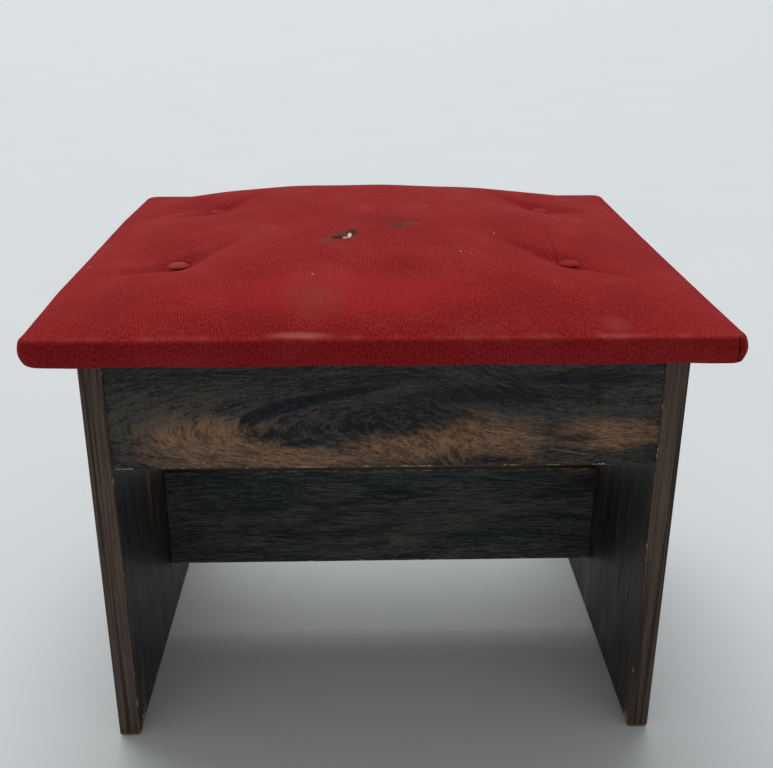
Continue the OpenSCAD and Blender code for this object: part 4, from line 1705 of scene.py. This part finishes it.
@dataclass
class Carcass:
    """The boards, bands, blocks and fixings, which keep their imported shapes.

    Attributes:
        nodes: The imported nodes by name.
        rosewood: Finish of the boards.
        band: Finish of their edging.
    """

    nodes: dict[str, bpy.types.Object]
    rosewood: RosewoodFinish = field(default_factory=RosewoodFinish)
    band: EdgeBandFinish = field(default_factory=EdgeBandFinish)

    def dress(self) -> None:
        """Gives every node of the base and of the fixings its finish."""
        self._panels()
        self._cross_boards()
        self._bands()
        self._inside()

    def _give(self, material: bpy.types.Material, *nodes: str) -> None:
        """Puts one material on nodes in place of their own.

        Args:
            material: The finish.
            *nodes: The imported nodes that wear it.
        """
        for node in nodes:
            slots = self.nodes[node].data.materials
            slots.clear()
            slots.append(material)
            LOG.info("%s dressed", node)

    def _panels(self) -> None:
        """Side panels: upright grain, chipped inner arrises and a bare sawn edge on the floor."""
        for seed, side, worn, scuffed, nick in ((1.3, "left", 0.6, 60 * MM, 13 * MM),
                                                (4.7, "right", 0.3, 36 * MM, 4 * MM)):
            node = f"{side}_side_panel"
            low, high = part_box(node)
            inner = high.x if side == "left" else low.x
            chips = (
                Arris(Run.UPRIGHT, (inner, high.y), 4.0 * MM, worn),
                Arris(Run.UPRIGHT, (inner, low.y), 1.0 * MM, 0.2),
                Arris(Run.DEEP, (inner, low.z), 4.0 * MM, worn),
                ScuffedArris(Run.DEEP, (inner, low.z), scuffed, 0.9),
                Nick((inner, low.y + nick, low.z + 2 * MM), (12 * MM, 9 * MM, 12 * MM)),
                Nick((inner, 0.0, low.z), (1.0, 1.0, 0.6 * MM)),
            )
            self._give(self.rosewood.material(f"laminate_{node}", Run.UPRIGHT, seed, chips), node)

    def _cross_boards(self) -> None:
        """Aprons and rail: level grain, chipped along their lower edges, the rail's laminate more grey in
        tone and lightened as painted light for its shaded place.
        """
        # Painted light: the rail's copy of the laminate is lightened to stand for light that its shaded
        # place lacks; its tone is also more grey.
        grey_and_lit = replace(self.rosewood, deep=(36, 44, 48), brown=(92, 92, 88), warm=(122, 106, 90),
                         clouds=0.6)
        swirled = replace(self.rosewood, draw=(0.15, 0.20))
        for seed, node, finish, figure in (
            (2.1, "front_apron", swirled, ApronFigure()),
            (6.4, "rear_apron", self.rosewood, None),
            (9.2, "lower_rail", grey_and_lit, None),
        ):
            low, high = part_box(node)
            chips = (Arris(Run.ACROSS, (low.y, low.z), 1.0 * MM, 0.42),
                     Arris(Run.ACROSS, (high.y, low.z), 1.2 * MM, 0.4))
            self._give(finish.material(f"laminate_{node}", Run.ACROSS, seed, chips, figure), node)

    def _bands(self) -> None:
        """Edge bands: upright ones with worn feet, level ones under and over the cross boards."""
        upright = [(side, end) for side in ("left", "right") for end in ("front", "rear")]
        for number, (side, end) in enumerate(upright):
            node = f"{side}_{end}_edge_band"
            low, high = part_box(node)
            at = (high.x if side == "left" else low.x, low.y if end == "front" else high.y)
            arris = Arris(Run.UPRIGHT, at, 0.9 * MM, 0.42)
            self._give(self.band.material(
                f"edging_{node}", Run.UPRIGHT, 1.9 * number + 0.8, arris), node)
        level = ("front_apron_edge_band", "rear_apron_edge_band", "rail_top_edge_band",
                 "rail_bottom_edge_band")
        for number, node in enumerate(level):
            low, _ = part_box(node)
            arris = Arris(Run.ACROSS, (low.y, low.z), 1.2 * MM, 0.6)
            self._give(self.band.material(
                f"edging_{node}", Run.ACROSS, 2.3 * number + 0.5, arris), node)

    def _inside(self) -> None:
        """Dowels, corner blocks, fixings, seat board and twine."""
        beech = TimberFinish((206, 164, 118), (182, 136, 92), rings=420.0)
        self._give(beech.material("beech", Run.ACROSS),
                   "front_apron_dowels", "rear_apron_dowels", "lower_rail_dowels")
        self._give(TimberFinish().material("pine", Run.DEEP), *(
            f"corner_block_{end}_{side}" for end in ("front", "rear") for side in ("left", "right")))
        self._give(ZincFinish().material("zinc_plating"),
                   "wall_screws", "seat_screws", "cover_staples", "tie_washers")
        self._give(ChipboardFinish().material("raw_chipboard"), "seat_board")
        self._give(TwineFinish().material("button_twine"), "button_ties")


@dataclass
class Studio:
    """Pale floor, a soft high lamp and an even sky.

    Attributes:
        floor_colour: Colour of the floor.
        sky_colour: Colour that the camera and reflections see behind the floor.
        sky_light: Strength of the sky's even light.
        key_light: Light of the high lamp on a level surface, on the same scale.
        key_from: Direction that the lamp shines from.
        key_spread: Angle that the lamp fills, which softens its shadows.
        floor_radius: Radius of the floor.
    """

    floor_colour: Colour = (214, 219, 221)
    sky_colour: Colour = (214, 219, 221)
    sky_light: float = 0.38
    key_light: float = 0.58
    key_from: Point = (-0.12, 0.60, 1.0)
    key_spread: float = 55.0
    floor_radius: float = 40.0

    def build(self) -> None:
        """Makes the floor, the lamps and the world."""
        self._floor()
        self._lamp()
        self._world()
        LOG.info("studio done")

    def _floor(self) -> None:
        """Floor disc from a polar grid, with a barely uneven tone."""
        angle = np.linspace(0, 2 * math.pi, 96, endpoint=False)
        radii = self.floor_radius * np.array([0.02, 0.1, 0.4, 1.0])
        ring = lifted(np.outer(radii, np.cos(angle)), np.outer(radii, np.sin(angle)), 0.0)
        spans = np.arange(len(radii))[:, None] * len(angle) + np.arange(len(angle))
        quads = [strip_quads(a, b).tolist() for a, b in zip(spans, spans[1:])]
        floor = new_piece("floor", ring.reshape(-1, 3), [spans[0].tolist(), *sum(quads, [])])
        shader = Shader.named("pale_floor")
        tone = shader.noise(shader.place(), scale=3.0, detail=3.0)
        colour = shader.mix(tone.step(0.3, 0.7) * 0.06, self.floor_colour, (196, 202, 205))
        floor.data.materials.append(shader.surface(colour, 0.75 + 0.1 * tone))

    def _lamp(self) -> None:
        """Soft sun, whose strength is pi times its level, over the cosine of its tilt."""
        towards = Vector(self.key_from).normalized()
        light = bpy.data.lights.new("key", "SUN")
        light.angle = math.radians(self.key_spread)
        light.energy = math.pi * self.key_light / towards.z
        lamp = bpy.data.objects.new("key", light)
        lamp.rotation_euler = (-towards).to_track_quat("-Z", "Y").to_euler()
        bpy.context.scene.collection.objects.link(lamp)

    def _world(self) -> None:
        """Even light for the object, and a pale colour for what looks past it."""
        world = bpy.data.worlds.new("studio")
        bpy.context.scene.world = world
        shader = Shader(world)
        ray = shader.node("ShaderNodeLightPath", output="Is Camera Ray")
        seen = ray.most(ray.other("Is Glossy Ray")).most(ray.other("Is Transmission Ray"))
        light = shader.node("ShaderNodeBackground", sockets={0: (1, 1, 1, 1), 1: self.sky_light})
        pale = shader.node("ShaderNodeBackground", sockets={0: linear(self.sky_colour), 1: 1.0})
        both = shader.node("ShaderNodeMixShader", sockets={0: seen, 1: light, 2: pale})
        shader.close("ShaderNodeOutputWorld", both)


@dataclass
class PhotoCamera:
    """Camera at the photograph's place, found by fitting a pinhole camera to the stool's edges.

    Attributes:
        place: Position.
        pitch: Angle that it looks down.
        yaw: Angle that it is turned about its own upright.
        roll: Angle that it is tipped.
        focal_px: Focal length in pixels.
        image: Width and height of the image in pixels.
        axis_row: Image row that the lens axis passes through.
    """

    place: Point = (-0.0177, -0.852, 0.6244)
    pitch: float = 20.498
    yaw: float = -1.53
    roll: float = 0.131
    focal_px: float = 969.0
    image: tuple[int, int] = (773, 768)
    axis_row: float = 330.0

    def build(self) -> None:
        """Makes the scene's camera: roll, then pitch, then yaw, with a small upward lens shift."""
        turn = (Matrix.Rotation(math.radians(self.roll), 3, "Z")
                @ Matrix.Rotation(math.radians(self.pitch), 3, "X")
                @ Matrix.Rotation(math.radians(self.yaw), 3, "Y")
                @ Matrix(((1, 0, 0), (0, 0, -1), (0, 1, 0))))
        data = bpy.data.cameras.new("photo_camera")
        data.sensor_width = 36.0
        data.lens = self.focal_px * data.sensor_width / self.image[0]
        data.shift_y = (self.axis_row - self.image[1] / 2) / self.image[0]
        data.clip_start = 0.05
        camera = bpy.data.objects.new("photo_camera", data)
        axes = Matrix((turn[0], -turn[1], -turn[2])).transposed().to_4x4()
        camera.matrix_world = Matrix.Translation(self.place) @ axes
        bpy.context.scene.collection.objects.link(camera)
        bpy.context.scene.camera = camera


def main() -> None:
    """Loads the frame and builds the looks round it."""
    logging.basicConfig(level=logging.INFO, format="%(name)s: %(message)s")
    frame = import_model()
    bpy.context.scene.view_settings.view_transform = "Standard"
    PhotoCamera().build()
    Studio().build()
    Carcass(frame["nodes"]).dress()
    Seat().build()


if __name__ == "__main__":
    main()
